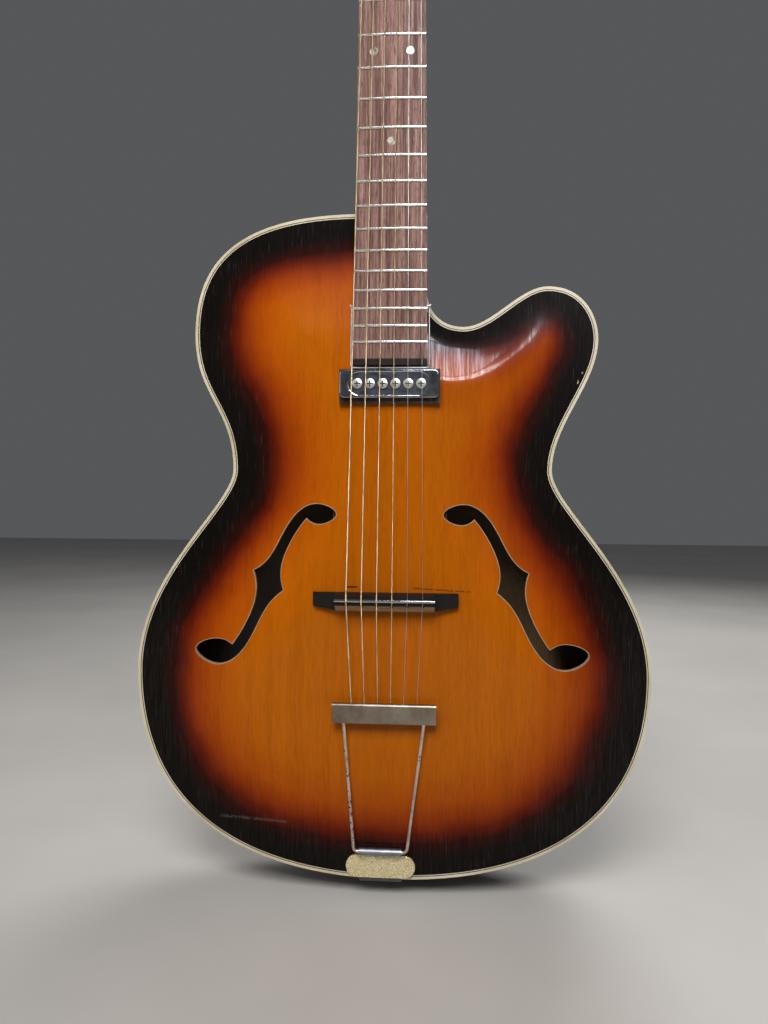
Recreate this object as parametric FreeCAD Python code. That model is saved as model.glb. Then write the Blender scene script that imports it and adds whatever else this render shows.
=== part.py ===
import FreeCAD, Part
import math
import os

V = FreeCAD.Vector

# The guitar stands upright: its front faces -Y, its neck points up +Z and the treble side is +X.
# Body outline; heights are measured up from the tail end, and shares are of the body's length
body_length = 542.0
lower_bout_width = 420.0
lower_bout_height_share = 0.3118
waist_width = 258.0
waist_height_share = 0.6218
upper_bout_width = 321.0
shoulder_drop = 96.0
horn_reach = 164.0
horn_drop = 42.0
horn_tip_place = 124.0
horn_tip_rise = 31.5
cutaway_place = 58.0
cutaway_depth = 90.5
cutaway_wall_rise = 32.0

# Reach of each outline curve's two handles, as shares of its run in x and z
tail_curve_shares = (0.62, 0.0, 0.0, 0.66)
flank_curve_shares = (0.0, 0.49, 0.0, 0.18)
waist_curve_shares = (0.0, 0.46, 0.0, 0.46)
shoulder_curve_shares = (0.0, 0.59, 0.77, 0.0)
cutaway_curve_shares = (0.0, 0.60, 0.62, 0.0)
horn_inner_shares = (0.34, 0.0, 0.34, 0.0)
horn_outer_shares = (0.69, 0.0, 0.0, 0.45)
horn_waist_shares = (0.0, 0.34, 0.0, 0.36)

# Plates, ribs and edges
rib_depth = 70.0
rib_thickness = 2.6
plate_thickness = 4.0
binding_width = 2.2
black_line_width = 0.7
white_line_width = 0.7
top_arch = 12.0
back_arch = 14.0
arch_margin = 8.0
arch_run = 118.0
cutaway_arch_run = 45.0
arch_tolerance = 0.06
arch_columns = 31
arch_rows = 39
outline_samples = 720
curve_samples = 32
lining_width = 6.0
lining_depth = 12.0
tail_block_width = 84.0
tail_block_depth = 34.0
neck_block_depth = 56.0
tone_bar_width = 8.0
tone_bar_depth = 15.0
tone_bar_length_share = 0.56
tone_bar_low_share = 0.2177
tone_bar_spread = 84.0

# Sound holes: their width and inset are shares of the lower bout's width,
# and their line, from the upper eye round and back, shares of their own box
sound_hole_width_share = 0.2786
sound_hole_length = 131.0
sound_hole_inset_share = 0.1024
sound_hole_drop = 56.0
upper_eye_shares = ((0.21, 0.915), (0.10, 0.88), (0.0, 0.94), (0.11, 1.0), (0.25, 0.965),
                    (0.395, 0.785), (0.515, 0.625), (0.585, 0.585))
outer_stem_shares = ((0.585, 0.585), (0.56, 0.47), (0.62, 0.28), (0.73, 0.12))
lower_eye_shares = ((0.73, 0.12), (0.88, 0.15), (1.0, 0.085), (0.88, 0.0), (0.70, 0.05),
                    (0.58, 0.20), (0.47, 0.38), (0.367, 0.468))
inner_stem_shares = ((0.367, 0.468), (0.39, 0.575), (0.34, 0.735), (0.21, 0.915))

# Neck and fingerboard
scale_length = 635.0
fret_count = 19
body_fret = 12
neck_angle = 0.9
board_lift = 12.6
board_thickness = 6.0
board_radius = 350.0
board_overhang = 18.0
nut_width = 47.5
board_end_width = 58.7
fret_width = 2.2
fret_height = 1.1
tang_width = 0.6
tang_depth = 1.8
dot_radius = 3.2
dot_depth = 2.0
dot_frets = ((5, 0), (7, -1), (7, 1), (10, 0))
dot_spread = 14.2
neck_depth_nut = 16.0
neck_depth_heel = 18.0
heel_reach = 26.0
heel_foot_width = 34.0
heel_foot_reach = 13.0
tenon_width = 26.0
tenon_length = 24.0
neck_bar_width = 6.0
neck_bar_depth = 9.0
neck_bar_inset = 16.0
nut_thickness = 5.0
nut_rise = 2.6
nut_witness_share = 0.25
top_clearance = 0.6

# Headstock
head_angle = 13.0
head_length = 178.0
head_thickness = 15.0
head_width = 72.0
head_flare = 26.0
head_crown = 14.0
veneer_thickness = 1.5

# Tuners, in a row on one plate each side
tuners_per_side = 3
tuner_spacing = 38.0
tuner_first = 54.0
tuner_inset = 14.0
tuner_plate_width = 15.0
tuner_plate_over = 12.0
tuner_plate_thickness = 1.2
post_radius = 3.0
post_stand = 17.0
post_hole_radius = 0.9
post_hole_drop = 4.0
ferrule_radius = 4.6
ferrule_flange = 6.2
ferrule_flange_thickness = 1.4
ferrule_length = 8.0
gear_teeth = 14
gear_module = 0.9
gear_thickness = 3.2
gear_addendum = 0.75
gear_dedendum = 1.05
gear_tip_share = 0.20
gear_root_share = 0.52
gear_screw_radius = 2.0
gear_screw_height = 1.0
gear_screw_slot = 0.6
worm_radius = 3.9
worm_root = 2.2
worm_length = 7.0
worm_crest_share = 0.20
worm_foot_share = 0.56
worm_lift = 5.2
shaft_radius = 1.8
tab_thickness = 1.4
tab_width = 6.0
button_gap = 3.0
button_neck_radius = 3.0
button_neck_length = 4.0
button_length = 15.0
button_width = 19.0
button_thickness = 8.0
button_round = 2.6
tuner_screw_radius = 1.9
tuner_screw_head = 0.9
tuner_screw_shank = 1.1
tuner_screw_length = 8.0

# Strings, from the bass side to the treble side
string_diameters = (1.30, 1.05, 0.85, 0.65, 0.45, 0.35)
wound_count = 4
nut_spread = 41.0
saddle_spread = 60.0
tail_spread = 52.0
string_rise = 2.3
wrap_turns = 3
wrap_gap = 0.45
wrap_lead = 5.0
wrap_samples = 60
nut_bend = 4.0
wrap_level = 9.0
ball_radius = 1.2
ball_length = 2.4

# Bridge, standing a little nearer the nut than the string length asks for
bridge_forward = 9.5
bridge_offset = -2.65
bridge_width = 116.0
bridge_depth = 14.0
bridge_top_depth = 8.0
bridge_middle_width = 79.0
bridge_end_height = 6.0
bridge_end_slope = 2.5
bridge_end_taper = 3.0
bridge_shoulder = 8.0
bridge_height = 14.6
saddle_radius = 1.3
saddle_sink = 0.6
saddle_back = 2.0
notch_width = 1.9
notch_depth = 1.6

# Tailpiece
hinge_offset = -6.2
hinge_height = 25.5
hinge_lift = 6.2
barrel_length = 35.0
barrel_wall = 1.3
rod_radius = 1.45
rod_bend = 4.0
rod_length_share = 0.5731
rod_low_spread = 43.2
rod_high_spread = 65.5
rod_entry = 9.0
tail_angle = 7.0
bar_offset = -2.85
bar_width = 82.5
bar_depth = 16.0
bar_wall = 1.0
bracket_thickness = 1.2
bracket_drop = 26.0
bracket_screw_spread = 20.0
bracket_screw_place = 16.0
bracket_screw_radius = 2.8
bracket_screw_head = 1.6
bracket_screw_shank = 1.5
bracket_screw_length = 14.0
plate_length = 57.0
plate_height = 19.0
plate_low = 2.2
tail_plate_thickness = 1.8
strap_stand = 10.0
strap_head_radius = 6.5
strap_head_thickness = 4.0
strap_waist_radius = 4.0
strap_foot_radius = 5.5
strap_foot_thickness = 2.0
strap_screw_radius = 1.8
strap_screw_length = 20.0

# Pickup
pickup_offset = -0.4
pickup_drop = 14.4
cover_width = 78.0
cover_depth = 22.0
cover_height = 5.0
cover_wall = 0.8
cover_round = 4.0
window_width = 64.0
window_depth = 17.5
ring_over = 0.8
ring_low = 4.0
ring_thickness = 3.6
bobbin_flange = 0.9
bobbin_core_width = 58.0
bobbin_core_depth = 7.0
bobbin_margin = 1.2
magnet_thickness = 2.0
magnet_width = 52.0
magnet_depth = 12.0
pole_spacing = 10.0
pole_head_radius = 3.9
pole_head_height = 1.5
pole_stand = 0.5
pole_radius = 1.5
pole_length = 5.6
pole_slot_width = 1.0
pole_slot_length = 4.8
pole_slot_depth = 0.8
hanger_radius = 0.6
hanger_gap = 1.0
hanger_bend = 3.0
hanger_drop = 1.7
hanger_nail_place = 45.0
nail_radius = 0.7
nail_length = 6.0
nail_head_radius = 1.3
nail_head_thickness = 0.6
lead_radius = 1.4
lead_hole_radius = 2.4
lead_place = 29.0
lead_bend = 14.0

# Output jack on the lower treble rib
jack_bore = 3.25
jack_barrel = 4.7
jack_flange = 8.0
jack_flange_thickness = 2.2
jack_stand = 4.6
jack_reach = 13.0
jack_nut_thickness = 2.4
jack_nut_width = 12.0
jack_washer = 8.0
jack_washer_thickness = 0.9
jack_arm_thickness = 0.7
jack_arm_length = 14.0
jack_arm_width = 5.0
jack_rib_length = 30.0

# Fits
overrun = 2.0
running_clearance = 0.05
rest_gap = 0.03
slip_gap = 0.3

# Levels that several pieces share
rib_front = -rib_depth / 2
rib_back = rib_depth / 2
top_edge = rib_front - plate_thickness
back_edge = rib_back + plate_thickness
crown_front = top_edge - top_arch
lower_bout_height = body_length * lower_bout_height_share
waist_height = body_length * waist_height_share
crotch_height = body_length - cutaway_depth
cutaway_wall_height = crotch_height + cutaway_wall_rise
horn_tip_height = crotch_height + horn_tip_rise


def fret_distance(number):
    return scale_length * (1 - 2 ** (-number / 12))


nut_place = fret_distance(body_fret)
board_end = nut_place - fret_distance(fret_count) - board_overhang
saddle_height = body_length + nut_place - scale_length + bridge_forward
rod_length = (saddle_height - hinge_height) * rod_length_share
pickup_height = body_length + board_end - pickup_drop


def board_half(place):
    share = (nut_place - place) / (nut_place - board_end)
    return (nut_width + (board_end_width - nut_width) * share) / 2


heel_half = board_half(0)

# Frames: the neck leans back from the body joint, the head leans back from the nut
neck_frame = FreeCAD.Placement(V(0, top_edge - board_lift, body_length),
                               FreeCAD.Rotation(V(1, 0, 0), -neck_angle))
head_frame = neck_frame * FreeCAD.Placement(V(0, veneer_thickness, nut_place + nut_thickness),
                                            FreeCAD.Rotation(V(1, 0, 0), -head_angle))
tail_frame = FreeCAD.Placement(V(0, top_edge - hinge_lift, hinge_height),
                               FreeCAD.Rotation(V(1, 0, 0), tail_angle))


def placed(shape, frame):
    copy = shape.copy()
    copy.Placement = frame * copy.Placement
    return copy


def box(x0, x1, y0, y1, z0, z1):
    return Part.makeBox(x1 - x0, y1 - y0, z1 - z0, V(x0, y0, z0))


def line(start, end):
    return Part.makeLine(start, end)


def polygon(points):
    return Part.Face(Part.makePolygon(list(points) + [points[0]]))


def joined(shapes):
    whole = shapes[0]
    for shape in shapes[1:]:
        whole = whole.fuse(shape)
    return whole.removeSplitter()


def group(shapes):
    return Part.makeCompound(shapes)


def prism(wire, y0, y1):
    face = Part.Face(wire)
    face.translate(V(0, y0, 0))
    return face.extrude(V(0, y1 - y0, 0))


def hoop(outer, inner, y0, y1):
    """Closed band between two insets of the body outline."""
    face = Part.makeFace([outline(outer), outline(inner)], "Part::FaceMakerBullseye")
    face.translate(V(0, y0, 0))
    return face.extrude(V(0, y1 - y0, 0))


def stadium(width, depth, x, z):
    """Closed wire with round ends, in the XZ plane."""
    r = depth / 2
    a = width / 2 - r
    return Part.Wire([
        line(V(x - a, 0, z - r), V(x + a, 0, z - r)),
        Part.Arc(V(x + a, 0, z - r), V(x + a + r, 0, z), V(x + a, 0, z + r)).toShape(),
        line(V(x + a, 0, z + r), V(x - a, 0, z + r)),
        Part.Arc(V(x - a, 0, z + r), V(x - a - r, 0, z), V(x - a, 0, z - r)).toShape()])


def bent(points, bend):
    """Straight runs joined by tangent arcs."""
    edges = []
    here = points[0]
    for before, corner, after in zip(points, points[1:], points[2:]):
        a = (before - corner).normalize()
        b = (after - corner).normalize()
        half = a.getAngle(b) / 2
        reach = bend / math.tan(half)
        middle = (a + b).normalize() * (bend / math.sin(half) - bend)
        edges.append(line(here, corner + a * reach))
        edges.append(Part.Arc(corner + a * reach, corner + middle, corner + b * reach).toShape())
        here = corner + b * reach
    edges.append(line(here, points[-1]))
    return edges


def tube(edges, radius):
    path = Part.Wire(edges)
    first = edges[0]
    start = first.valueAt(first.FirstParameter)
    way = first.tangentAt(first.FirstParameter)
    return path.makePipeShell([Part.Wire(Part.makeCircle(radius, start, way))], True, False)


def turned(profile, base, axis):
    """Solid of revolution of a closed list of points."""
    return polygon(profile).revolve(base, axis, 360)


def outline_curve(start, end, shares):
    run = end - start
    curve = Part.BezierCurve()
    curve.setPoles([start,
                    start + V(run.x * shares[0], 0, run.z * shares[1]),
                    end - V(run.x * shares[2], 0, run.z * shares[3]),
                    end])
    return curve


def bass_curves():
    """The bass side, from the tail up to the shoulder at the neck."""
    tail = V(0, 0, 0)
    bout = V(-lower_bout_width / 2, 0, lower_bout_height)
    waist = V(-waist_width / 2, 0, waist_height)
    upper = V(-upper_bout_width / 2, 0, body_length - shoulder_drop)
    shoulder = V(-heel_half, 0, body_length)
    return [outline_curve(tail, bout, tail_curve_shares),
            outline_curve(bout, waist, flank_curve_shares),
            outline_curve(waist, upper, waist_curve_shares),
            outline_curve(upper, shoulder, shoulder_curve_shares)]


def backward(shares):
    return (shares[2], shares[3], shares[0], shares[1])


def treble_curves():
    """The treble side, from the cutaway at the neck down to the tail."""
    wall = V(heel_half, 0, cutaway_wall_height)
    crotch = V(cutaway_place, 0, crotch_height)
    tip = V(horn_tip_place, 0, horn_tip_height)
    horn = V(horn_reach, 0, horn_tip_height - horn_drop)
    waist = V(waist_width / 2, 0, waist_height)
    bout = V(lower_bout_width / 2, 0, lower_bout_height)
    tail = V(0, 0, 0)
    return [outline_curve(wall, crotch, cutaway_curve_shares),
            outline_curve(crotch, tip, horn_inner_shares),
            outline_curve(tip, horn, horn_outer_shares),
            outline_curve(horn, waist, horn_waist_shares),
            outline_curve(waist, bout, backward(flank_curve_shares)),
            outline_curve(bout, tail, backward(tail_curve_shares))]


def inset_edge(curve, inset):
    """One outline curve moved into the body; the body lies to the right of its run."""
    if inset == 0:
        return curve.toShape()
    points = []
    for step in range(curve_samples + 1):
        place = curve.FirstParameter + (curve.LastParameter - curve.FirstParameter) * step / curve_samples
        way = V(*curve.tangent(place)[0])
        points.append(curve.value(place) + V(way.z, 0, -way.x) * inset)
    inner = Part.BSplineCurve()
    inner.interpolate(points)
    return inner.toShape()


def outline(inset=0):
    """Body outline, set in all round by the same distance."""
    top = body_length - inset
    side = heel_half - inset
    edges = [inset_edge(curve, inset) for curve in bass_curves()]
    edges.append(line(V(-heel_half, 0, top), V(side, 0, top)))
    edges.append(line(V(side, 0, top), V(side, 0, cutaway_wall_height)))
    edges += [inset_edge(curve, inset) for curve in treble_curves()]
    return Part.Wire(edges)


def whole_outline():
    """The outline as it would be without a cutaway."""
    edges = [curve.toShape() for curve in bass_curves()]
    mirrored = [edge.mirror(V(0, 0, 0), V(1, 0, 0)) for edge in edges]
    edges.append(line(V(-heel_half, 0, body_length), V(heel_half, 0, body_length)))
    return Part.Wire(Part.__sortEdges__(edges + mirrored))


def edge_distance(wire):
    """Distance from a place inside the wire to its edge, and zero outside."""
    samples = [(p.x, p.z) for p in wire.discretize(Number=outline_samples)]
    face = Part.Face(wire)

    def distance(x, z):
        if not face.isInside(V(x, 0, z), rest_gap, True):
            return 0
        return math.sqrt(min((x - a) ** 2 + (z - b) ** 2 for a, b in samples))
    return distance


def ease(share):
    share = min(max(share, 0), 1)
    return share ** 3 * (share * (share * 6 - 15) + 10)


def arch_shares():
    """Places over the body and the share of the full arch that the plates reach there."""
    whole = edge_distance(whole_outline())
    real = edge_distance(outline())
    half = lower_bout_width / 2 + arch_margin
    rows = []
    for column in range(arch_columns):
        x = half * (2 * column / (arch_columns - 1) - 1)
        row = []
        for level in range(arch_rows):
            z = (body_length + 2 * arch_margin) * level / (arch_rows - 1) - arch_margin
            climb = ease((whole(x, z) - arch_margin) / arch_run)
            fall = ease((real(x, z) - arch_margin) / cutaway_arch_run)
            row.append((x, z, climb * fall))
        rows.append(row)
    return rows


def arch_face(rows, edge, rise):
    """Arched surface whose edge lies at one depth and whose crown stands off by the rise."""
    grid = [[V(x, edge + rise * share, z) for x, z, share in row] for row in rows]
    surface = Part.BSplineSurface()
    surface.approximate(Points=grid, DegMin=3, DegMax=5, Continuity=2, Tolerance=arch_tolerance)
    return Part.Face(surface)


def sound_hole(side):
    low = saddle_height - sound_hole_drop
    inset = lower_bout_width * sound_hole_inset_share
    width = lower_bout_width * sound_hole_width_share
    edges = []
    for shares in (upper_eye_shares, outer_stem_shares, lower_eye_shares, inner_stem_shares):
        points = [V(side * (inset + width * a), 0, low + sound_hole_length * b) for a, b in shares]
        curve = Part.BSplineCurve()
        curve.interpolate(points)
        edges.append(curve.toShape())
    return Part.Wire(edges)


def neck_section(place, depth):
    half = board_half(place)
    return Part.Wire([line(V(-half, 0, place), V(half, 0, place)),
                      Part.Arc(V(half, 0, place), V(0, depth, place), V(-half, 0, place)).toShape()])


def board_section(place):
    half = board_half(place)
    edge = board_radius - math.sqrt(board_radius ** 2 - half ** 2) - board_thickness
    points = [V(-half, edge, place), V(-half, 0, place), V(half, 0, place), V(half, edge, place)]
    edges = [line(a, b) for a, b in zip(points, points[1:])]
    edges.append(Part.Arc(points[3], V(0, -board_thickness, place), points[0]).toShape())
    return Part.Wire(edges)


def make_frets():
    """Crown and tang of each fret, bent to the fingerboard's radius."""
    frets = []
    centre = V(0, board_radius - board_thickness, 0)
    for number in range(1, fret_count + 1):
        place = nut_place - fret_distance(number)
        spread = math.degrees(math.asin(board_half(place) / board_radius))
        crown = Part.Arc(V(0, -board_thickness, place - fret_width / 2),
                         V(0, -board_thickness - fret_height, place),
                         V(0, -board_thickness, place + fret_width / 2)).toShape()
        foot = [V(0, -board_thickness, place + fret_width / 2),
                V(0, -board_thickness, place + tang_width / 2),
                V(0, tang_depth - board_thickness, place + tang_width / 2),
                V(0, tang_depth - board_thickness, place - tang_width / 2),
                V(0, -board_thickness, place - tang_width / 2),
                V(0, -board_thickness, place - fret_width / 2)]
        face = Part.Face(Part.Wire([crown] + [line(a, b) for a, b in zip(foot, foot[1:])]))
        face.rotate(centre, V(0, 0, 1), -spread)
        frets.append(face.revolve(centre, V(0, 0, 1), 2 * spread))
    return frets


def make_board(frets):
    """Fingerboard with its fret slots, and the position dots let into it."""
    board = Part.makeLoft([board_section(board_end), board_section(nut_place)], True, True)
    dots = []
    for number, side in dot_frets:
        place = nut_place - (fret_distance(number) + fret_distance(number - 1)) / 2
        bit = Part.makeCylinder(dot_radius, dot_depth + overrun,
                                V(side * dot_spread, -board_thickness - overrun, place), V(0, 1, 0))
        dots.append(bit.common(board))
    return board.cut(group(frets + dots)), dots


def head_outline():
    """Flared sides, straight where the tuners are, and a low crown, in the head's own frame."""
    low = board_half(nut_place)
    high = head_width / 2
    shoulder = head_length - head_crown
    flare = Part.BezierCurve()
    flare.setPoles([V(low, 0, 0), V(low, 0, head_flare / 2), V(high, 0, head_flare / 2),
                    V(high, 0, head_flare)])
    crown = Part.BezierCurve()
    crown.setPoles([V(high, 0, shoulder), V(high / 2, 0, shoulder), V(high / 2, 0, head_length),
                    V(0, 0, head_length)])
    sides = [flare.toShape(), line(V(high, 0, head_flare), V(high, 0, shoulder)), crown.toShape()]
    mirrored = [edge.mirror(V(0, 0, 0), V(1, 0, 0)) for edge in sides]
    base = line(V(-low, 0, 0), V(low, 0, 0))
    return Part.Wire(Part.__sortEdges__(sides + mirrored + [base]))


def post_places():
    """Where the six posts stand in the head's frame, bass side first, in string order."""
    x = head_width / 2 - tuner_inset
    rows = [tuner_first + tuner_spacing * step for step in range(tuners_per_side)]
    return [(-x, z) for z in rows] + [(x, z) for z in reversed(rows)]


def heel_section(y, half, reach):
    return Part.Wire([line(V(-half, y, body_length), V(half, y, body_length)),
                      Part.Arc(V(half, y, body_length), V(0, y, body_length + reach),
                               V(-half, y, body_length)).toShape()])


def make_neck(under_top, bar):
    """Shaft, heel, tenon, fingerboard rest and headstock in one piece of wood."""
    shaft = Part.makeLoft([neck_section(0, neck_depth_heel),
                           neck_section(nut_place + nut_thickness, neck_depth_nut)], True, True)
    half_end = board_half(board_end) - overrun
    half_joint = heel_half - overrun
    rest = polygon([V(-half_end, 0, board_end), V(half_end, 0, board_end), V(half_joint, 0, 0),
                    V(half_joint, 0, overrun), V(-half_joint, 0, overrun), V(-half_joint, 0, 0)])
    rest = placed(rest.extrude(V(0, board_lift + overrun, 0)), neck_frame)
    gap = under_top.copy()
    gap.translate(V(0, -top_clearance, 0))
    rest = rest.cut(gap)
    body_space = box(-heel_half - overrun, heel_half + overrun, top_edge - top_clearance, back_edge + overrun,
                     body_length - neck_block_depth, body_length)
    heel = Part.makeLoft([heel_section(top_edge - board_lift + neck_depth_heel / 3, heel_half - slip_gap,
                                       heel_reach),
                          heel_section(rib_front + rib_depth / 4, (heel_half + heel_foot_width / 2) / 2,
                                       (heel_reach + heel_foot_reach) / 2 - overrun),
                          heel_section(back_edge, heel_foot_width / 2, heel_foot_reach)], True, False)
    head = prism(head_outline(), 0, head_thickness)
    for x, z in post_places():
        head = head.cut(Part.makeCylinder(ferrule_radius, head_thickness, V(x, 0, z), V(0, 1, 0)))
    neck = joined([placed(shaft, neck_frame), heel, rest, placed(head, head_frame)]).cut(body_space)
    return neck.fuse(tenon()).removeSplitter().cut(bar)


def tenon():
    """The tongue that is glued into the neck block."""
    return box(-tenon_width / 2, tenon_width / 2, rib_front, rib_back,
               body_length - tenon_length, body_length + overrun)


def gear_wheel():
    """Toothed wheel round the post axis (the y axis), with a tooth facing -z."""
    pitch_radius = gear_teeth * gear_module / 2
    step = 2 * math.pi / gear_teeth
    tip = pitch_radius + gear_addendum
    root = pitch_radius - gear_dedendum
    points = []
    for tooth in range(gear_teeth):
        middle = tooth * step - math.pi / 2
        for radius, share in ((root, -gear_root_share), (tip, -gear_tip_share),
                              (tip, gear_tip_share), (root, gear_root_share)):
            angle = middle + share * step / 2
            points.append(V(radius * math.cos(angle), -gear_thickness / 2, radius * math.sin(angle)))
    return polygon(points).extrude(V(0, gear_thickness, 0))


worm_pitch = math.pi * gear_module
gear_pitch_radius = gear_teeth * gear_module / 2
worm_pitch_radius = worm_radius - gear_addendum
centre_distance = gear_pitch_radius + worm_pitch_radius


def worm_thread():
    """Helical thread along +z, trimmed square, with its middle at the origin."""
    height = worm_length + 2 * worm_pitch
    foot = worm_foot_share * worm_pitch / 2
    crest = worm_crest_share * worm_pitch / 2
    inner = worm_root - running_clearance
    helix = Part.Wire(Part.makeHelix(worm_pitch, height, worm_root))
    profile = Part.makePolygon([V(inner, 0, -foot), V(worm_radius, 0, -crest), V(worm_radius, 0, crest),
                                V(inner, 0, foot), V(inner, 0, -foot)])
    thread = helix.makePipeShell([profile], True, True)
    turns = round(height / 2 / worm_pitch)
    thread.translate(V(0, 0, -turns * worm_pitch))
    keep = Part.makeCylinder(worm_radius + overrun, worm_length, V(0, 0, -worm_length / 2))
    core = Part.makeCylinder(worm_root, worm_length, V(0, 0, -worm_length / 2))
    return core.fuse(thread.common(keep)).removeSplitter()


inner_tab = -worm_length / 2 - slip_gap
outer_tab = worm_length / 2 + slip_gap


def make_worm():
    """Worm, shaft and button of one tuner: axis along +x from below the post."""
    worm = worm_thread()
    worm.rotate(V(0, 0, 0), V(0, 1, 0), 90)
    start = inner_tab - tab_thickness - slip_gap
    end = tuner_inset + button_gap + button_neck_length
    shaft = Part.makeCylinder(shaft_radius, end - start, V(start, 0, 0), V(1, 0, 0))
    return worm.fuse(shaft).removeSplitter()


def make_button():
    """Flat oval finger button with a short neck, pressed on the shaft."""
    start = tuner_inset + button_gap
    neck = Part.makeCylinder(button_neck_radius, button_neck_length + overrun, V(start, 0, 0), V(1, 0, 0))
    middle = start + button_neck_length + button_length / 2
    oval = Part.Wire(Part.Ellipse(V(middle, 0, button_width / 2), V(middle + button_length / 2, 0, 0),
                                  V(middle, 0, 0)).toShape())
    body = Part.Face(oval).extrude(V(0, button_thickness, 0))
    body.translate(V(0, -button_thickness / 2, 0))
    rims = [edge for edge in body.Edges if not isinstance(edge.Curve, Part.Line)]
    body = body.makeFillet(button_round, rims)
    hole = Part.makeCylinder(shaft_radius, button_neck_length, V(start, 0, 0), V(1, 0, 0))
    return neck.fuse(body).removeSplitter().cut(hole)


def make_post():
    """Slotted string post with its wheel; the head's front lies at y = 0."""
    top = -veneer_thickness - post_stand
    wheel_middle = head_thickness + tuner_plate_thickness + worm_lift
    foot = wheel_middle + gear_thickness / 2
    post = Part.makeCylinder(post_radius, foot - top, V(0, top, 0), V(0, 1, 0))
    wheel = gear_wheel()
    wheel.translate(V(0, wheel_middle, 0))
    cap = Part.makeCylinder(gear_screw_radius, gear_screw_height, V(0, foot, 0), V(0, 1, 0))
    slot = box(-gear_screw_radius, gear_screw_radius, foot + gear_screw_height / 2,
               foot + gear_screw_height, -gear_screw_slot / 2, gear_screw_slot / 2)
    hole = Part.makeCylinder(post_hole_radius, 4 * post_radius, V(-2 * post_radius, top + post_hole_drop, 0),
                             V(1, 0, 0))
    return joined([post, wheel, cap]).cut(slot).cut(hole)


def make_tuner_plate():
    """Bass side plate with two tabs for each worm, in the head's frame."""
    x = -(head_width / 2 - tuner_inset)
    low = tuner_first - tuner_plate_over - centre_distance
    high = tuner_first + (tuners_per_side - 1) * tuner_spacing + tuner_plate_over
    back = head_thickness + tuner_plate_thickness
    outer_edge = x - outer_tab - tab_thickness
    strip = box(outer_edge, outer_edge + tuner_plate_width + tab_thickness, head_thickness, back, low, high)
    height = worm_lift + shaft_radius + tab_thickness
    tabs = []
    bores = []
    for step in range(tuners_per_side):
        z = tuner_first + step * tuner_spacing
        axis = z - centre_distance
        for inner in (x - inner_tab, x - outer_tab - tab_thickness):
            tabs.append(box(inner, inner + tab_thickness, head_thickness, back + height,
                            axis - tab_width / 2, axis + tab_width / 2))
        bores.append(Part.makeCylinder(shaft_radius + running_clearance, 4 * tab_width,
                                       V(x - 2 * tab_width, back + worm_lift, axis), V(1, 0, 0)))
        bores.append(Part.makeCylinder(post_radius + running_clearance, tuner_plate_thickness,
                                       V(x, head_thickness, z), V(0, 1, 0)))
    plate = joined([strip] + tabs).cut(group(bores))
    holes = [Part.makeCylinder(tuner_screw_shank, tuner_plate_thickness, V(place, head_thickness, level),
                               V(0, 1, 0)) for place, level in plate_screw_places(-1)]
    return plate.cut(group(holes))


def plate_screw_places(side):
    """A screw between each two tuners and one near each end of the plate."""
    x = side * (head_width / 2 - tuner_inset)
    end = tuner_plate_over - 2 * tuner_screw_radius
    last = tuner_first + (tuners_per_side - 1) * tuner_spacing
    between = [tuner_first + tuner_spacing * (step + 1 / 2) for step in range(tuners_per_side - 1)]
    return [(x, z) for z in between + [last + end, tuner_first - centre_distance - end]]


def wood_screw(x, z):
    """Small round-headed screw that holds a tuner plate on the back of the head."""
    back = head_thickness + tuner_plate_thickness
    head = Part.makeCylinder(tuner_screw_radius, tuner_screw_head, V(x, back, z), V(0, 1, 0))
    shank = Part.makeCylinder(tuner_screw_shank, tuner_screw_length, V(x, back - tuner_screw_length, z),
                              V(0, 1, 0))
    slot = box(x - tuner_screw_radius, x + tuner_screw_radius, back + tuner_screw_head / 2,
               back + tuner_screw_head, z - gear_screw_slot / 2, z + gear_screw_slot / 2)
    return head.fuse(shank).removeSplitter().cut(slot)


def make_ferrule(x, z):
    front = -veneer_thickness
    flange = Part.makeCylinder(ferrule_flange, ferrule_flange_thickness,
                               V(x, front - ferrule_flange_thickness, z), V(0, 1, 0))
    sleeve = Part.makeCylinder(ferrule_radius, ferrule_length, V(x, front, z), V(0, 1, 0))
    bore = Part.makeCylinder(post_radius + running_clearance, ferrule_length + 2 * ferrule_flange_thickness,
                             V(x, front - ferrule_flange_thickness, z), V(0, 1, 0))
    return flange.fuse(sleeve).removeSplitter().cut(bore)


def string_share(number):
    return number / (len(string_diameters) - 1) - 1 / 2


saddle_top = crown_front - bridge_height - saddle_radius - saddle_sink


def saddle_point(number):
    radius = string_diameters[number] / 2
    middle = bridge_offset + (bar_offset - bridge_offset) / 4
    return V(middle + saddle_spread * string_share(number), saddle_top - radius - rest_gap, saddle_height)


def nut_point(number):
    x = nut_spread * string_share(number)
    place = nut_place + nut_thickness * nut_witness_share
    return neck_frame.multVec(V(x, -board_thickness - string_rise, place))


def biarc(start, start_way, end, end_way):
    """Two tangent arcs between two places with given directions."""
    run = end - start
    both = start_way + end_way
    turn = 2 * (1 - start_way.dot(end_way))
    reach = (math.sqrt(run.dot(both) ** 2 + turn * run.dot(run)) - run.dot(both)) / turn
    middle = (start + start_way * reach + end - end_way * reach) / 2
    return [tangent_arc(start, start_way, middle), tangent_arc(end, end_way * -1, middle, True)]


def tangent_arc(start, way, end, flip=False):
    chord = end - start
    angle = way.getAngle(chord)
    centre = (start + end) / 2
    apex = start + way * (chord.Length / 2 / math.cos(angle))
    middle = centre + (apex - centre).normalize() * (chord.Length / 2 * math.tan(angle / 2))
    ends = (end, middle, start) if flip else (start, middle, end)
    return Part.Arc(*ends).toShape()


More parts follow.
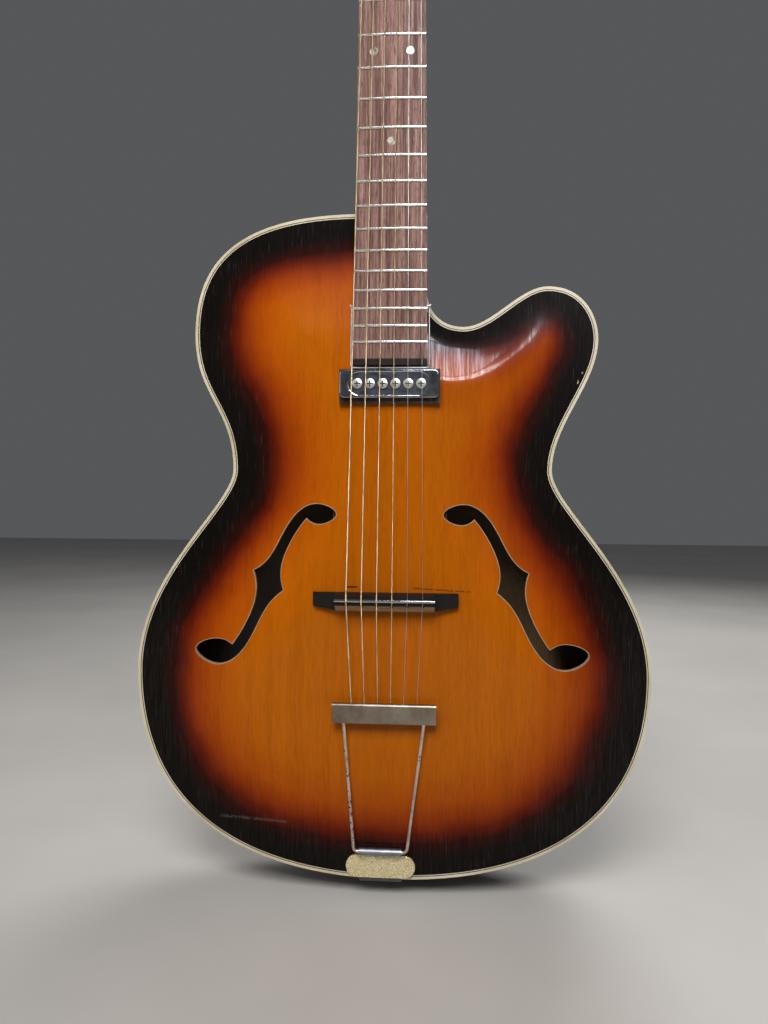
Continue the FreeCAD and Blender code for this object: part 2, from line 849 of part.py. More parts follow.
def wrap_path(number):
    """The string's last run and its turns round the post, in the body's frame."""
    x, z = post_places()[number]
    diameter = string_diameters[number]
    radius = post_radius + diameter / 2 + slip_gap / 2
    pitch = diameter + wrap_gap
    side = 1 if x < 0 else -1
    level = -veneer_thickness - wrap_level
    nut = head_frame.inverse().multVec(nut_point(number))
    away = math.hypot(nut.x - x, nut.z - z)
    start = math.atan2(nut.z - z, nut.x - x) + side * math.acos(radius / away)

    def spot(turn):
        angle = start + side * 2 * math.pi * turn
        return V(x + radius * math.cos(angle), level + pitch * turn, z + radius * math.sin(angle))

    def way(turn):
        angle = start + side * 2 * math.pi * turn
        rise = pitch / (2 * math.pi)
        return V(-side * radius * math.sin(angle), rise, side * radius * math.cos(angle)).normalize()
    steps = [half / 2 for half in range(2 * wrap_turns + 1)]
    arcs = []
    for a, b in zip(steps, steps[1:]):
        arcs += biarc(spot(a), way(a), spot(b), way(b))
    arcs.append(line(spot(wrap_turns), spot(wrap_turns) + way(wrap_turns) * diameter))
    arcs = [placed(arc, head_frame) for arc in arcs]
    lead = head_frame.multVec(spot(0) - way(0) * wrap_lead)
    return lead, head_frame.multVec(spot(0)), arcs


def least_wrap_gap(number):
    """Least clear gap between neighbouring turns on one post, measured on points."""
    points = Part.Wire(wrap_path(number)[2]).discretize(Number=wrap_samples * wrap_turns)
    apart = wrap_samples * 2 // 3
    least = min((a - b).Length for place, a in enumerate(points) for b in points[place + apart:])
    return least - string_diameters[number]


def make_string(number):
    """One string from the saddle over the nut to its turns on the post."""
    diameter = string_diameters[number]
    saddle = saddle_point(number)
    nut = nut_point(number)
    start = saddle + (nut - saddle).normalize() * rest_gap * 5
    lead, tangent, arcs = wrap_path(number)
    edges = bent([start, nut, lead, tangent], nut_bend) + arcs
    return tube(edges, diameter / 2)


def bar_front(number):
    """Where a string leaves the tailpiece bar, in the body's frame."""
    x = bar_offset + tail_spread * string_share(number)
    return tail_frame.multVec(V(x, 0, rod_length + bar_depth / 2))


def make_tail(number):
    """The string's after-length, from the saddle to its ball end inside the bar."""
    radius = string_diameters[number] / 2
    saddle = saddle_point(number)
    leave = bar_front(number)
    way = (leave - saddle).normalize()
    start = saddle + way * rest_gap * 5
    end = leave + way * (bar_wall + rod_radius + running_clearance)
    run = Part.makeCylinder(radius, (end - start).Length, start, way)
    ball = Part.makeCylinder(ball_radius, ball_length, end, way)
    return run.fuse(ball).removeSplitter()


def channel(start, end, half):
    """Square trough round a straight run of string, open to the front."""
    way = (end - start).normalize()
    up = V(0, -1, 0) + way * way.y
    up.normalize()
    side = way.cross(up) * half
    floor = start - up * half
    roof = start + up * overrun
    return polygon([floor - side, floor + side, roof + side, roof - side]).extrude(way * 2 * nut_thickness)


def make_nut():
    """Nut at the end of the fingerboard, with a trough for each string."""
    half = board_half(nut_place)
    top = -board_thickness - nut_rise
    nut = placed(box(-half, half, top, 0, nut_place, nut_place + nut_thickness), neck_frame)
    slots = []
    for number, diameter in enumerate(string_diameters):
        bottom = diameter / 2 + running_clearance
        witness = nut_point(number)
        slots.append(channel(witness, saddle_point(number), bottom))
        slots.append(channel(witness, wrap_path(number)[0], bottom))
    for slot in slots:
        nut = nut.cut(slot)
    return nut


def make_bridge(under_top):
    """Floating bridge: low sloping ends, a raised middle with a groove for the saddle rod."""
    base = crown_front
    front = base - bridge_height
    low = base - bridge_end_height
    half = bridge_depth / 2
    middle = saddle_height - saddle_back
    a = bridge_middle_width / 2
    b = bridge_width / 2
    x = bridge_offset
    ends = polygon([V(x - b, top_edge, middle - half), V(x - b, low + bridge_end_slope, middle - half),
                    V(x - a, low, middle - half), V(x + a, low, middle - half),
                    V(x + b, low + bridge_end_slope, middle - half), V(x + b, top_edge, middle - half)])
    ends = ends.extrude(V(0, 0, bridge_depth))
    crown = polygon([V(x - a, top_edge, middle - half), V(x - a, base - bridge_shoulder, middle - half),
                     V(x - a, front, saddle_height - bridge_top_depth / 2),
                     V(x - a, front, saddle_height + bridge_top_depth / 2),
                     V(x - a, base - bridge_shoulder, middle + half), V(x - a, top_edge, middle + half)])
    crown = crown.extrude(V(bridge_middle_width, 0, 0))
    groove = Part.makeCylinder(saddle_radius, bridge_middle_width, saddle_axis(), V(1, 0, 0))
    tapers = []
    for side in (-1, 1):
        corner = polygon([V(x + side * b, top_edge, middle - half), V(x + side * a, top_edge, middle - half),
                          V(x + side * b, top_edge, middle - half + bridge_end_taper)])
        tapers.append(corner.extrude(V(0, front - top_edge, 0)))
    notches = []
    for number in range(len(string_diameters)):
        place = saddle_point(number).x
        notches.append(box(place - notch_width / 2, place + notch_width / 2, front - overrun,
                           front + notch_depth, middle - half, saddle_height - saddle_radius))
    return joined([ends, crown]).cut(under_top).cut(group([groove] + tapers + notches))


def saddle_axis():
    return V(bridge_offset - bridge_middle_width / 2, saddle_top + saddle_radius, saddle_height)


def make_saddle():
    return Part.makeCylinder(saddle_radius, bridge_middle_width, saddle_axis(), V(1, 0, 0))


def make_rods():
    """One wire: up one side, through the hinge barrel and up the other, in the tailpiece's frame."""
    top = rod_length - bar_depth / 2 + rod_entry
    low = rod_low_spread / 2
    high = rod_high_spread / 2
    points = [V(bar_offset - high, 0, top), V(hinge_offset - low, 0, 0),
              V(hinge_offset + low, 0, 0), V(bar_offset + high, 0, top)]
    return tube(bent(points, rod_bend), rod_radius)


def make_bar():
    """Folded bar, open towards the tail, with a rolled front edge and six string holes."""
    half = bar_width / 2
    low = rod_length - bar_depth / 2
    high = rod_length + bar_depth / 2
    outer = rod_radius + running_clearance + bar_wall
    inner = rod_radius + running_clearance

    def folded(radius, top):
        x = bar_offset - half
        fold = [V(x, radius, top - radius), V(x, 0, top), V(x, -radius, top - radius)]
        foot = [V(x, -radius, low), V(x, radius, low)]
        wire = Part.Wire([line(*foot), line(foot[1], fold[0]), Part.Arc(*fold).toShape(),
                          line(fold[2], foot[0])])
        return Part.Face(wire).extrude(V(bar_width, 0, 0))
    bar = folded(outer, high).cut(folded(inner, high - bar_wall))
    holes = []
    for number, diameter in enumerate(string_diameters):
        x = bar_offset + tail_spread * string_share(number)
        holes.append(Part.makeCylinder(diameter / 2 + slip_gap, 2 * bar_wall + 2 * overrun,
                                       V(x, 0, high - bar_wall - overrun), V(0, 0, 1)))
    return bar.cut(group(holes))


def bracket_screw_points():
    return [V(hinge_offset + side * bracket_screw_spread / 2, bracket_screw_place, -bracket_thickness)
            for side in (-1, 1)]


def make_bracket():
    """Hinge barrel on a strip that is bent over the tail edge and screwed to the rib."""
    half = barrel_length / 2
    x0 = hinge_offset - half
    x1 = hinge_offset + half
    axis = top_edge - hinge_lift
    outer = rod_radius + running_clearance + barrel_wall
    lift = slip_gap / 2
    under = box(x0, x1, top_edge - lift - bracket_thickness, top_edge - lift, -bracket_thickness,
                hinge_height)
    drop = box(x0, x1, top_edge - lift - bracket_thickness, bracket_drop, -bracket_thickness, 0)
    web = box(x0, x1, axis, top_edge - lift, hinge_height - outer / 2, hinge_height + outer / 2)
    barrel = Part.makeCylinder(outer, barrel_length, V(x0, axis, hinge_height), V(1, 0, 0))
    bore = Part.makeCylinder(rod_radius + running_clearance, barrel_length, V(x0, axis, hinge_height),
                             V(1, 0, 0))
    holes = [Part.makeCylinder(bracket_screw_shank, bracket_thickness, p, V(0, 0, 1))
             for p in bracket_screw_points()]
    holes.append(Part.makeCylinder(strap_screw_radius, bracket_thickness, V(0, 0, -bracket_thickness),
                                   V(0, 0, 1)))
    return joined([under, drop, web, barrel]).cut(group([bore] + holes))


def make_bracket_screws():
    screws = []
    for p in bracket_screw_points():
        head = Part.makeCylinder(bracket_screw_radius, bracket_screw_head, p, V(0, 0, -1))
        shank = Part.makeCylinder(bracket_screw_shank, bracket_screw_length, p, V(0, 0, 1))
        slot = box(p.x - bracket_screw_radius, p.x + bracket_screw_radius, p.y - gear_screw_slot / 2,
                   p.y + gear_screw_slot / 2, p.z - bracket_screw_head, p.z - bracket_screw_head / 2)
        screws.append(head.fuse(shank).removeSplitter().cut(slot))
    return screws


def make_tail_plate():
    """Oval plate on the bracket over the tail edge, with eased rims."""
    face = top_edge - slip_gap / 2 - bracket_thickness
    body = prism(stadium(plate_length, plate_height, hinge_offset, plate_low + plate_height / 2),
                 face - tail_plate_thickness, face)
    rims = [edge for edge in body.Edges if edge.BoundBox.YMax < face - tail_plate_thickness / 2]
    return body.makeFillet(tail_plate_thickness / 3, rims)


def make_strap_button():
    """Turned button on a screw that goes through the bracket into the tail block."""
    base = -bracket_thickness
    profile = [(0, base + strap_screw_length), (strap_screw_radius, base + strap_screw_length),
               (strap_screw_radius, base), (strap_foot_radius, base),
               (strap_foot_radius, base - strap_foot_thickness),
               (strap_waist_radius, base - strap_stand / 2), (strap_head_radius, base - strap_stand),
               (strap_head_radius, base - strap_stand - strap_head_thickness),
               (0, base - strap_stand - strap_head_thickness)]
    return turned([V(r, 0, z) for r, z in profile], V(0, 0, 0), V(0, 0, 1))


pickup_foot = crown_front - ring_thickness
cover_front = pickup_foot - cover_height
ring_high = body_length + board_end - hanger_drop - hanger_radius - rest_gap


def make_ring(under_top):
    """Mounting frame under the cover, shaped to the top."""
    half = cover_width / 2 + ring_over
    low = pickup_height - cover_depth / 2 - ring_low
    frame = box(pickup_offset - half, pickup_offset + half, pickup_foot, top_edge, low, ring_high)
    inner = prism(stadium(window_width + 2 * bobbin_margin, window_depth + 2 * bobbin_margin,
                          pickup_offset, pickup_height), pickup_foot - overrun, top_edge + overrun)
    return frame.cut(inner).cut(under_top)


def make_cover():
    """Pressed shell with rounded corners and a long round-ended window."""
    half = cover_width / 2
    deep = cover_depth / 2
    body = box(pickup_offset - half, pickup_offset + half, cover_front, pickup_foot,
               pickup_height - deep, pickup_height + deep)
    uprights = [edge for edge in body.Edges if edge.BoundBox.YLength > cover_height / 2]
    body = body.makeFillet(cover_round, uprights)
    rims = [edge for edge in body.Edges if edge.BoundBox.YMax < cover_front + cover_wall]
    body = body.makeFillet(cover_wall, rims)
    side = half - 2 * cover_wall
    end = deep - 2 * cover_wall
    hollow = box(pickup_offset - side, pickup_offset + side, cover_front + cover_wall, pickup_foot,
                 pickup_height - end, pickup_height + end)
    window = prism(stadium(window_width, window_depth, pickup_offset, pickup_height),
                   cover_front - overrun, pickup_foot)
    return body.cut(hollow).cut(window)


def pole_points():
    first = pickup_offset - pole_spacing * (len(string_diameters) - 1) / 2
    return [V(first + pole_spacing * number, bobbin_face() - pole_stand, pickup_height)
            for number in range(len(string_diameters))]


def bobbin_face():
    return cover_front + cover_wall / 2


def bobbin_levels():
    """Front of the bobbin, its two flanges and the magnet behind it."""
    front = cover_front + cover_wall
    back = crown_front - 2 * arch_tolerance - magnet_thickness
    return front, front + bobbin_flange, back - bobbin_flange, back


def pole_holes(radius):
    deep = crown_front - cover_front
    return group([Part.makeCylinder(radius, deep, V(p.x, cover_front, p.z), V(0, 1, 0))
                  for p in pole_points()])


def make_bobbin():
    """Black bobbin: the face seen in the window, two flanges and the core between them."""
    front, roof, floor, back = bobbin_levels()
    face = prism(stadium(window_width - slip_gap, window_depth - slip_gap, pickup_offset, pickup_height),
                 bobbin_face(), front)
    flange = stadium(window_width + bobbin_margin, window_depth + bobbin_margin, pickup_offset, pickup_height)
    core = stadium(bobbin_core_width, bobbin_core_depth, pickup_offset, pickup_height)
    body = joined([face, prism(flange, front, roof), prism(core, roof, floor), prism(flange, floor, back)])
    return body.cut(pole_holes(pole_radius + running_clearance))


def make_coil():
    roof, floor = bobbin_levels()[1:3]
    outer = prism(stadium(window_width, window_depth, pickup_offset, pickup_height), roof, floor)
    core = prism(stadium(bobbin_core_width, bobbin_core_depth, pickup_offset, pickup_height), roof, floor)
    return outer.cut(core)


def make_magnet():
    back = bobbin_levels()[3]
    half = magnet_width / 2
    deep = magnet_depth / 2
    bar = box(pickup_offset - half, pickup_offset + half, back, back + magnet_thickness,
              pickup_height - deep, pickup_height + deep)
    return bar.cut(pole_holes(pole_radius + slip_gap))


def make_pole(p):
    """Round-headed screw with a cross slot, standing a little proud of the bobbin."""
    top = p.y - pole_head_height
    profile = [(0, top), (pole_head_radius / 2, top + pole_head_height / 8),
               (pole_head_radius, p.y - pole_head_height / 3), (pole_head_radius, p.y),
               (pole_radius, p.y), (pole_radius, p.y + pole_length), (0, p.y + pole_length)]
    screw = turned([V(p.x + r, y, p.z) for r, y in profile], p, V(0, 1, 0))
    for wide, high in ((pole_slot_length, pole_slot_width), (pole_slot_width, pole_slot_length)):
        screw = screw.cut(box(p.x - wide / 2, p.x + wide / 2, top - overrun, top + pole_slot_depth,
                              p.z - high / 2, p.z + high / 2))
    return screw


def make_hanger():
    """Bent wire that hangs the pickup from two nails in the fingerboard's sides, in the neck's frame."""
    level = -board_thickness / 2
    low = board_end - hanger_drop / math.cos(math.radians(neck_angle))
    high = board_end + hanger_nail_place
    wide = board_half(high) + hanger_gap + hanger_radius
    foot = board_half(board_end) + hanger_gap + hanger_radius
    wire = tube(bent([V(-wide, level, high), V(-foot, level, low), V(foot, level, low), V(wide, level, high)],
                     hanger_bend), hanger_radius)
    nails = []
    for side in (-1, 1):
        inner = side * (board_half(high) - nail_length / 2)
        way = V(side, 0, 0)
        start = V(inner, level, high + hanger_radius + nail_radius + rest_gap)
        length = nail_length / 2 + hanger_gap + 2 * hanger_radius
        nail = Part.makeCylinder(nail_radius, length, start, way)
        head = Part.makeCylinder(nail_head_radius, nail_head_thickness, start + way * length, way)
        nails.append(nail.fuse(head))
    return wire, nails


jack_face = lower_bout_width / 2


def make_jack():
    """Socket: a threaded barrel through the rib, an inner flange and a contact arm."""
    z = lower_bout_height
    end = jack_face + jack_stand
    inside = jack_face - rib_thickness - slip_gap
    root = inside - jack_flange_thickness
    tip = root - jack_arm_length - jack_reach
    low = z - jack_arm_width / 2
    high = z + jack_arm_width / 2
    length = end - inside + jack_reach
    barrel = Part.makeCylinder(jack_barrel, length, V(inside - jack_reach, 0, z), V(1, 0, 0))
    flange = Part.makeCylinder(jack_flange, jack_flange_thickness, V(root, 0, z), V(1, 0, 0))
    arm = box(tip, root, -jack_flange, jack_arm_thickness - jack_flange, low, high)
    lip = box(tip, tip + jack_arm_thickness, -jack_flange, -jack_bore - slip_gap, low, high)
    bore = Part.makeCylinder(jack_bore, length, V(inside - jack_reach, 0, z), V(1, 0, 0))
    return joined([barrel, flange, arm, lip]).cut(bore)


def make_jack_nut():
    """Six-sided nut and washer outside the rib."""
    z = lower_bout_height
    hole = jack_barrel + rest_gap
    corner = jack_nut_width / math.sqrt(3)
    points = [V(jack_face + jack_washer_thickness, corner * math.cos(math.pi * side / 3),
                z + corner * math.sin(math.pi * side / 3)) for side in range(6)]
    nut = polygon(points).extrude(V(jack_nut_thickness, 0, 0))
    washer = Part.makeCylinder(jack_washer, jack_washer_thickness, V(jack_face, 0, z), V(1, 0, 0))
    bore = Part.makeCylinder(hole, jack_stand + overrun, V(jack_face, 0, z), V(1, 0, 0))
    return [nut.cut(bore), washer.cut(bore)]


def make_lead():
    """Pickup lead through the top and across the inside of the body to the jack's arm."""
    start_x = pickup_offset - lead_place
    start = V(start_x, crown_front - magnet_thickness, pickup_height)
    end_x = jack_face - rib_thickness - jack_flange_thickness - jack_reach
    arm = -jack_flange - lead_radius - rest_gap
    points = [start, V(start_x, arm, pickup_height), V(end_x - lower_bout_width / 4, arm, lower_bout_height),
              V(end_x, arm, lower_bout_height)]
    return tube(bent(points, lead_bend), lead_radius)


def build():
    shares = arch_shares()
    far = rib_depth
    top_face = arch_face(shares, top_edge, -top_arch)
    back_face = arch_face(shares, back_edge, back_arch)
    under_top = top_face.extrude(V(0, far, 0))
    inner_top = top_face.copy()
    inner_top.translate(V(0, plate_thickness, 0))
    inner_back = back_face.copy()
    inner_back.translate(V(0, -plate_thickness, 0))
    over_inner = inner_top.extrude(V(0, -far, 0))
    behind_inner = inner_back.extrude(V(0, far, 0))

    black_inset = binding_width + black_line_width
    white_inset = black_inset + white_line_width
    inside = prism(outline(rib_thickness), -far, far)
    top_prism = prism(outline(white_inset), -far, far)
    back_prism = prism(outline(binding_width), -far, far)

    bar = placed(box(-neck_bar_width / 2, neck_bar_width / 2, 0, neck_bar_depth, neck_bar_inset,
                     nut_place - neck_bar_inset), neck_frame)
    neck = make_neck(under_top, bar)
    neck_tenon = tenon()

    slab = top_face.extrude(V(0, plate_thickness, 0)).common(top_prism)
    lead = make_lead()
    lead_hole = Part.makeCylinder(lead_hole_radius, far, V(pickup_offset - lead_place, crown_front - overrun,
                                                           pickup_height), V(0, 1, 0))
    holes = [prism(sound_hole(side), -far, 0) for side in (-1, 1)]
    top = slab.cut(group(holes + [lead_hole]))
    back = back_face.extrude(V(0, -plate_thickness, 0)).common(back_prism)

    ring = hoop(0, rib_thickness, rib_front, rib_back)
    jack_hole = Part.makeCylinder(jack_barrel, far, V(jack_face - far / 2, 0, lower_bout_height), V(1, 0, 0))
    screw_reach = bracket_screw_length + bracket_thickness
    tail_holes = [Part.makeCylinder(bracket_screw_shank, screw_reach, p, V(0, 0, 1))
                  for p in bracket_screw_points()]
    tail_holes.append(Part.makeCylinder(strap_screw_radius, strap_screw_length, V(0, 0, -bracket_thickness),
                                        V(0, 0, 1)))
    ribs = ring.cut(group([neck_tenon, jack_hole] + tail_holes))
    half_space = box(-lower_bout_width, 0, -far, far, -far, 2 * body_length)
    treble_rib = ribs.cut(half_space)
    jack_stretch = box(0, lower_bout_width, -far, far, lower_bout_height - jack_rib_length / 2,
                       lower_bout_height + jack_rib_length / 2)

    neck_block = box(-heel_half + rib_thickness, heel_half - rib_thickness, crown_front, rib_back + back_arch,
                     body_length - rib_thickness - neck_block_depth, body_length - rib_thickness)
    mortise = box(-tenon_width / 2, tenon_width / 2, -far, far, body_length - tenon_length, body_length)
    neck_block = neck_block.cut(over_inner).cut(behind_inner).cut(mortise)
    tail_block = box(-tail_block_width / 2, tail_block_width / 2, crown_front, rib_back + back_arch,
                     0, tail_block_depth).common(inside)
    tail_block = tail_block.cut(over_inner).cut(behind_inner).cut(group(tail_holes))
    lining_inset = rib_thickness + lining_width
    blocks = group([box(-heel_half + rib_thickness, heel_half - rib_thickness, -far, far,
                        body_length - rib_thickness - neck_block_depth, body_length),
                    box(-tail_block_width / 2, tail_block_width / 2, -far, far, 0, tail_block_depth)])
    seat = arch_tolerance
    top_lining = hoop(rib_thickness, lining_inset, rib_front + seat, rib_front + lining_depth).cut(blocks)
    back_lining = hoop(rib_thickness, lining_inset, rib_back - lining_depth, rib_back - seat).cut(blocks)
    tone_bars = []
    bar_low = body_length * tone_bar_low_share
    bar_high = bar_low + body_length * tone_bar_length_share
    for side in (-1, 1):
        x = side * tone_bar_spread / 2
        tone_bar = box(x - tone_bar_width / 2, x + tone_bar_width / 2, crown_front,
                       crown_front + plate_thickness + tone_bar_depth, bar_low, bar_high)
        tone_bars.append(tone_bar.cut(over_inner))

    frets = make_frets()
    board, dots = make_board(frets)
    wire, nails = make_hanger()
    board = board.cut(group(nails))

    places = post_places()
    veneer = prism(head_outline(), -veneer_thickness, 0)
    for x, z in places:
        veneer = veneer.cut(Part.makeCylinder(ferrule_radius, 2 * veneer_thickness,
                                              V(x, -veneer_thickness, z), V(0, 1, 0)))
    plate = make_tuner_plate()
    plates = [plate, plate.mirror(V(0, 0, 0), V(1, 0, 0))]
    plate_screws = [wood_screw(x, z) for side in (-1, 1) for x, z in plate_screw_places(side)]
    neck = neck.cut(group([placed(screw, head_frame) for screw in plate_screws]))

    nodes = {
        "top_plate": top, "back_plate": back,
        "rib_bass": ribs.common(half_space), "rib_treble": treble_rib.cut(jack_stretch),
        "rib_at_jack": treble_rib.common(jack_stretch),
        "top_binding": hoop(0, binding_width, top_edge, rib_front),
        "top_black_line": hoop(binding_width, black_inset, top_edge, rib_front),
        "top_white_line": hoop(black_inset, white_inset, top_edge, rib_front),
        "back_binding": hoop(0, binding_width, rib_back, back_edge),
        "linings": group([top_lining, back_lining]), "neck_block": neck_block, "tail_block": tail_block,
        "tone_bars": group(tone_bars), "neck": neck, "neck_bar": bar,
        "fingerboard": placed(board, neck_frame), "frets": placed(group(frets), neck_frame),
        "position_dots": placed(group(dots), neck_frame), "nut": make_nut(),
        "head_veneer": placed(veneer, head_frame), "tuner_plates": placed(group(plates), head_frame),
        "post_ferrules": placed(group([make_ferrule(x, z) for x, z in places]), head_frame),
        "wound_strings": group([make_string(number) for number in range(wound_count)]),
        "plain_strings": group([make_string(number) for number in range(wound_count, len(string_diameters))]),
        "string_tails": group([make_tail(number) for number in range(len(string_diameters))]),
        "bridge": make_bridge(under_top), "bridge_saddle": make_saddle(),
        "tailpiece_bar": placed(make_bar(), tail_frame), "tailpiece_rods": placed(make_rods(), tail_frame),
        "tailpiece_bracket": make_bracket(), "tail_plate": make_tail_plate(),
        "wood_screws": group([placed(screw, head_frame) for screw in plate_screws] + make_bracket_screws()),
        "strap_button": make_strap_button(),
        "pickup_ring": make_ring(under_top), "pickup_cover": make_cover(), "pickup_bobbin": make_bobbin(),
        "pickup_coil": make_coil(), "pickup_magnet": make_magnet(),
        "pickup_hanger": placed(group([wire] + nails), neck_frame), "pickup_lead": lead,
        "output_jack": make_jack(), "jack_nut": group(make_jack_nut())}

    worm = make_worm()
    button = make_button()
    post = make_post()
    depth = head_thickness + tuner_plate_thickness + worm_lift
    for number, (x, z) in enumerate(places):
        flip = x < 0
        spot = FreeCAD.Placement(V(x, depth, z - centre_distance), FreeCAD.Rotation())
        pieces = [worm.mirror(V(0, 0, 0), V(1, 0, 0)) if flip else worm,
                  button.mirror(V(0, 0, 0), V(1, 0, 0)) if flip else button]
        nodes["tuner_worm_%d" % (number + 1)] = placed(placed(group(pieces), spot), head_frame)
        nodes["tuner_post_%d" % (number + 1)] = placed(
            placed(post, FreeCAD.Placement(V(x, 0, z), FreeCAD.Rotation())), head_frame)
    for number, p in enumerate(pole_points()):
        nodes["pole_screw_%d" % (number + 1)] = make_pole(p)
    return nodes


for number in range(len(string_diameters)):
    print("string", number + 1, "least gap between its turns, mm:", round(least_wrap_gap(number), 3))
os.makedirs("parts", exist_ok=True)
lift = bracket_thickness + strap_stand + strap_head_thickness / 2
for name, shape in build().items():
    shape = shape.copy()
    shape.translate(V(0, 0, lift))
    shape.exportStep("parts/%s.step" % name)
    print(name, len(shape.Solids), shape.isValid(), round(shape.Volume, 1))
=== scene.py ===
import math

import bpy
import numpy as np
from mathutils import Matrix, Vector
from mathutils.geometry import delaunay_2d_cdt


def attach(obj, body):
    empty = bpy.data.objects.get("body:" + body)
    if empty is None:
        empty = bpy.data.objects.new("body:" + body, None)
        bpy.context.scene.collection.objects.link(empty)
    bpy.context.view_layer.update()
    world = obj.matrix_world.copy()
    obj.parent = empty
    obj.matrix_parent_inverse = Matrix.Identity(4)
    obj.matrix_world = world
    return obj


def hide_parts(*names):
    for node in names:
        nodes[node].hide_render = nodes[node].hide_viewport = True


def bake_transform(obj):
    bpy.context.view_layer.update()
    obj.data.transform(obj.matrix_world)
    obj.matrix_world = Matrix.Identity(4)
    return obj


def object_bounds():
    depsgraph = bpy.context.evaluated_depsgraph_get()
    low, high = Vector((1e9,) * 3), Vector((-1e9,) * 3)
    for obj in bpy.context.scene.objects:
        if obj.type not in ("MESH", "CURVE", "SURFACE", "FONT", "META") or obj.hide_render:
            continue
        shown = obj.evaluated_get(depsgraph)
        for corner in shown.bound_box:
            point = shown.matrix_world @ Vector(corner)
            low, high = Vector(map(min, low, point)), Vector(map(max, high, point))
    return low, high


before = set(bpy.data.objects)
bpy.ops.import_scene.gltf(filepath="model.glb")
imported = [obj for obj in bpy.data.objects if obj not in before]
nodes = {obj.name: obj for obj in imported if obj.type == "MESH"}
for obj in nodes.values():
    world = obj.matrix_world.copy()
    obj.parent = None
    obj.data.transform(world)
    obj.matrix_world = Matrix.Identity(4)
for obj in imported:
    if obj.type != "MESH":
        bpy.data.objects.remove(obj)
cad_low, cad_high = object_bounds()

MM = 0.001

# The body's sizes, in millimetres, as the solids have them; heights are measured up from the tail end,
# which lies TAIL_LIFT above the row's origin
TAIL_LIFT = 13.2
BODY_LENGTH = 542.0
LOWER_BOUT = (210.0, 169.0)
WAIST = (129.0, 337.0)
UPPER_BOUT = (160.5, 446.0)
HEEL_HALF = 27.82
CUTAWAY_WALL = 483.5
CROTCH = (58.0, 451.5)
HORN_TIP = (124.0, 483.0)
HORN_SIDE = (164.0, 441.0)
TOP_EDGE = -39.0
TOP_ARCH = 12.0
BACK_EDGE = 39.0
BACK_ARCH = 14.0
PLATE_THICKNESS = 4.0
TOP_INSET = 3.6
BACK_INSET = 2.2
ARCH_MARGIN = 8.0
ARCH_RUN = 118.0
CUTAWAY_ARCH_RUN = 45.0
SADDLE_HEIGHT = 234.0
HOLE_SIZE = (117.0, 131.0)
HOLE_INSET = 43.0
HOLE_DROP = 56.0
HOLE_EASE = 0.45
HOLE_RIM = 0.6
LEAD_HOLE = (-29.4, 404.0, 2.4)
LEAD_HOLE_SIDES = 24

# Places and sizes that the finishes go by, in millimetres in the row's frame: the fingerboard's lower
# end, the pickup's window and pole screws, the middle of the bridge, the inner end of the tuner buttons,
# where the plain strings start, and two pitches of wire
BOARD_END = BODY_LENGTH - 123.6 + TAIL_LIFT
WINDOW = (64.0, 17.5)
POLE_SPACING = 10.0
POLE_MIDDLE = (-0.4, -61.2, 417.2)
BRIDGE_MIDDLE = -2.65
BUTTON_FROM = 39.0
PLAIN_STRINGS_FROM = 8.4
WINDING_PITCH = 0.32
COIL_PITCH = 0.25

# Meshing of the arched plates, in millimetres: spacing of the inner points and of the outline's points,
# least distance of inner points from lines, what counts as on a line or as one point, step for slopes
PLATE_SPACING = 4.0
OUTLINE_SPACING = 2.5
LINE_MARGIN = 1.6
ON_LINE = 1e-3
MERGE_REACH = 1e-5
SLOPE_STEP = 0.6

# The dark edge of the sunburst: how far its colours reach in, how far its line wanders, and the places
# (across, up from the tail end) where it is broader or narrower, each with its reach and the change
BURST_REACH = 120.0
BURST_WANDER = 14.0
BURST_SPOTS = (
    ((50, 436), 34, -0.42), ((150, 430), 30, -0.10), ((-120, 345), 45, 0.14),
    ((-190, 150), 85, 0.13), ((190, 140), 85, 0.27), ((0, 10), 90, 0.06))

# The lower half of the body is duller: the polish rises between these heights of the row's frame
POLISH_HEIGHTS = (300, 400)

# Wear on the top and one painted sheen: where each stroke starts and ends (across and up in the
# row's frame), its width, colour and strength
TOP_MARKS = (
    ((-35.0, 256.2), (-23.0, 256.4), 1.1, (0.030, 0.010, 0.004), 0.85),
    ((17.0, 256.0), (66.0, 253.4), 0.9, (0.075, 0.020, 0.004), 0.70),
    # painted sheen: a soft grey highlight painted across the black low on the left
    ((-141.0, 62.0), (-81.0, 58.5), 1.5, (0.12, 0.09, 0.07), 0.30),
    ((152.4, 430.5), (151.6, 426.5), 0.7, (0.55, 0.50, 0.44), 0.9),
    ((149.2, 423.0), (148.2, 418.5), 0.7, (0.55, 0.50, 0.44), 0.8))

# Handle reaches of the outline's curves, as shares of each curve's run
TAIL_SHARES = (0.62, 0.0, 0.0, 0.66)
FLANK_SHARES = (0.0, 0.49, 0.0, 0.18)
WAIST_SHARES = (0.0, 0.46, 0.0, 0.46)
SHOULDER_SHARES = (0.0, 0.59, 0.77, 0.0)
CUTAWAY_SHARES = (0.0, 0.60, 0.62, 0.0)
HORN_INNER_SHARES = (0.34, 0.0, 0.34, 0.0)
HORN_OUTER_SHARES = (0.69, 0.0, 0.0, 0.45)
HORN_WAIST_SHARES = (0.0, 0.34, 0.0, 0.36)

# Sound hole line as shares of its box, from the upper eye round and back
HOLE_SHARES = (
    ((0.21, 0.915), (0.10, 0.88), (0.0, 0.94), (0.11, 1.0), (0.25, 0.965), (0.395, 0.785),
     (0.515, 0.625), (0.585, 0.585)),
    ((0.585, 0.585), (0.56, 0.47), (0.62, 0.28), (0.73, 0.12)),
    ((0.73, 0.12), (0.88, 0.15), (1.0, 0.085), (0.88, 0.0), (0.70, 0.05), (0.58, 0.20),
     (0.47, 0.38), (0.367, 0.468)),
    ((0.367, 0.468), (0.39, 0.575), (0.34, 0.735), (0.21, 0.915)))


# Body outline and arch

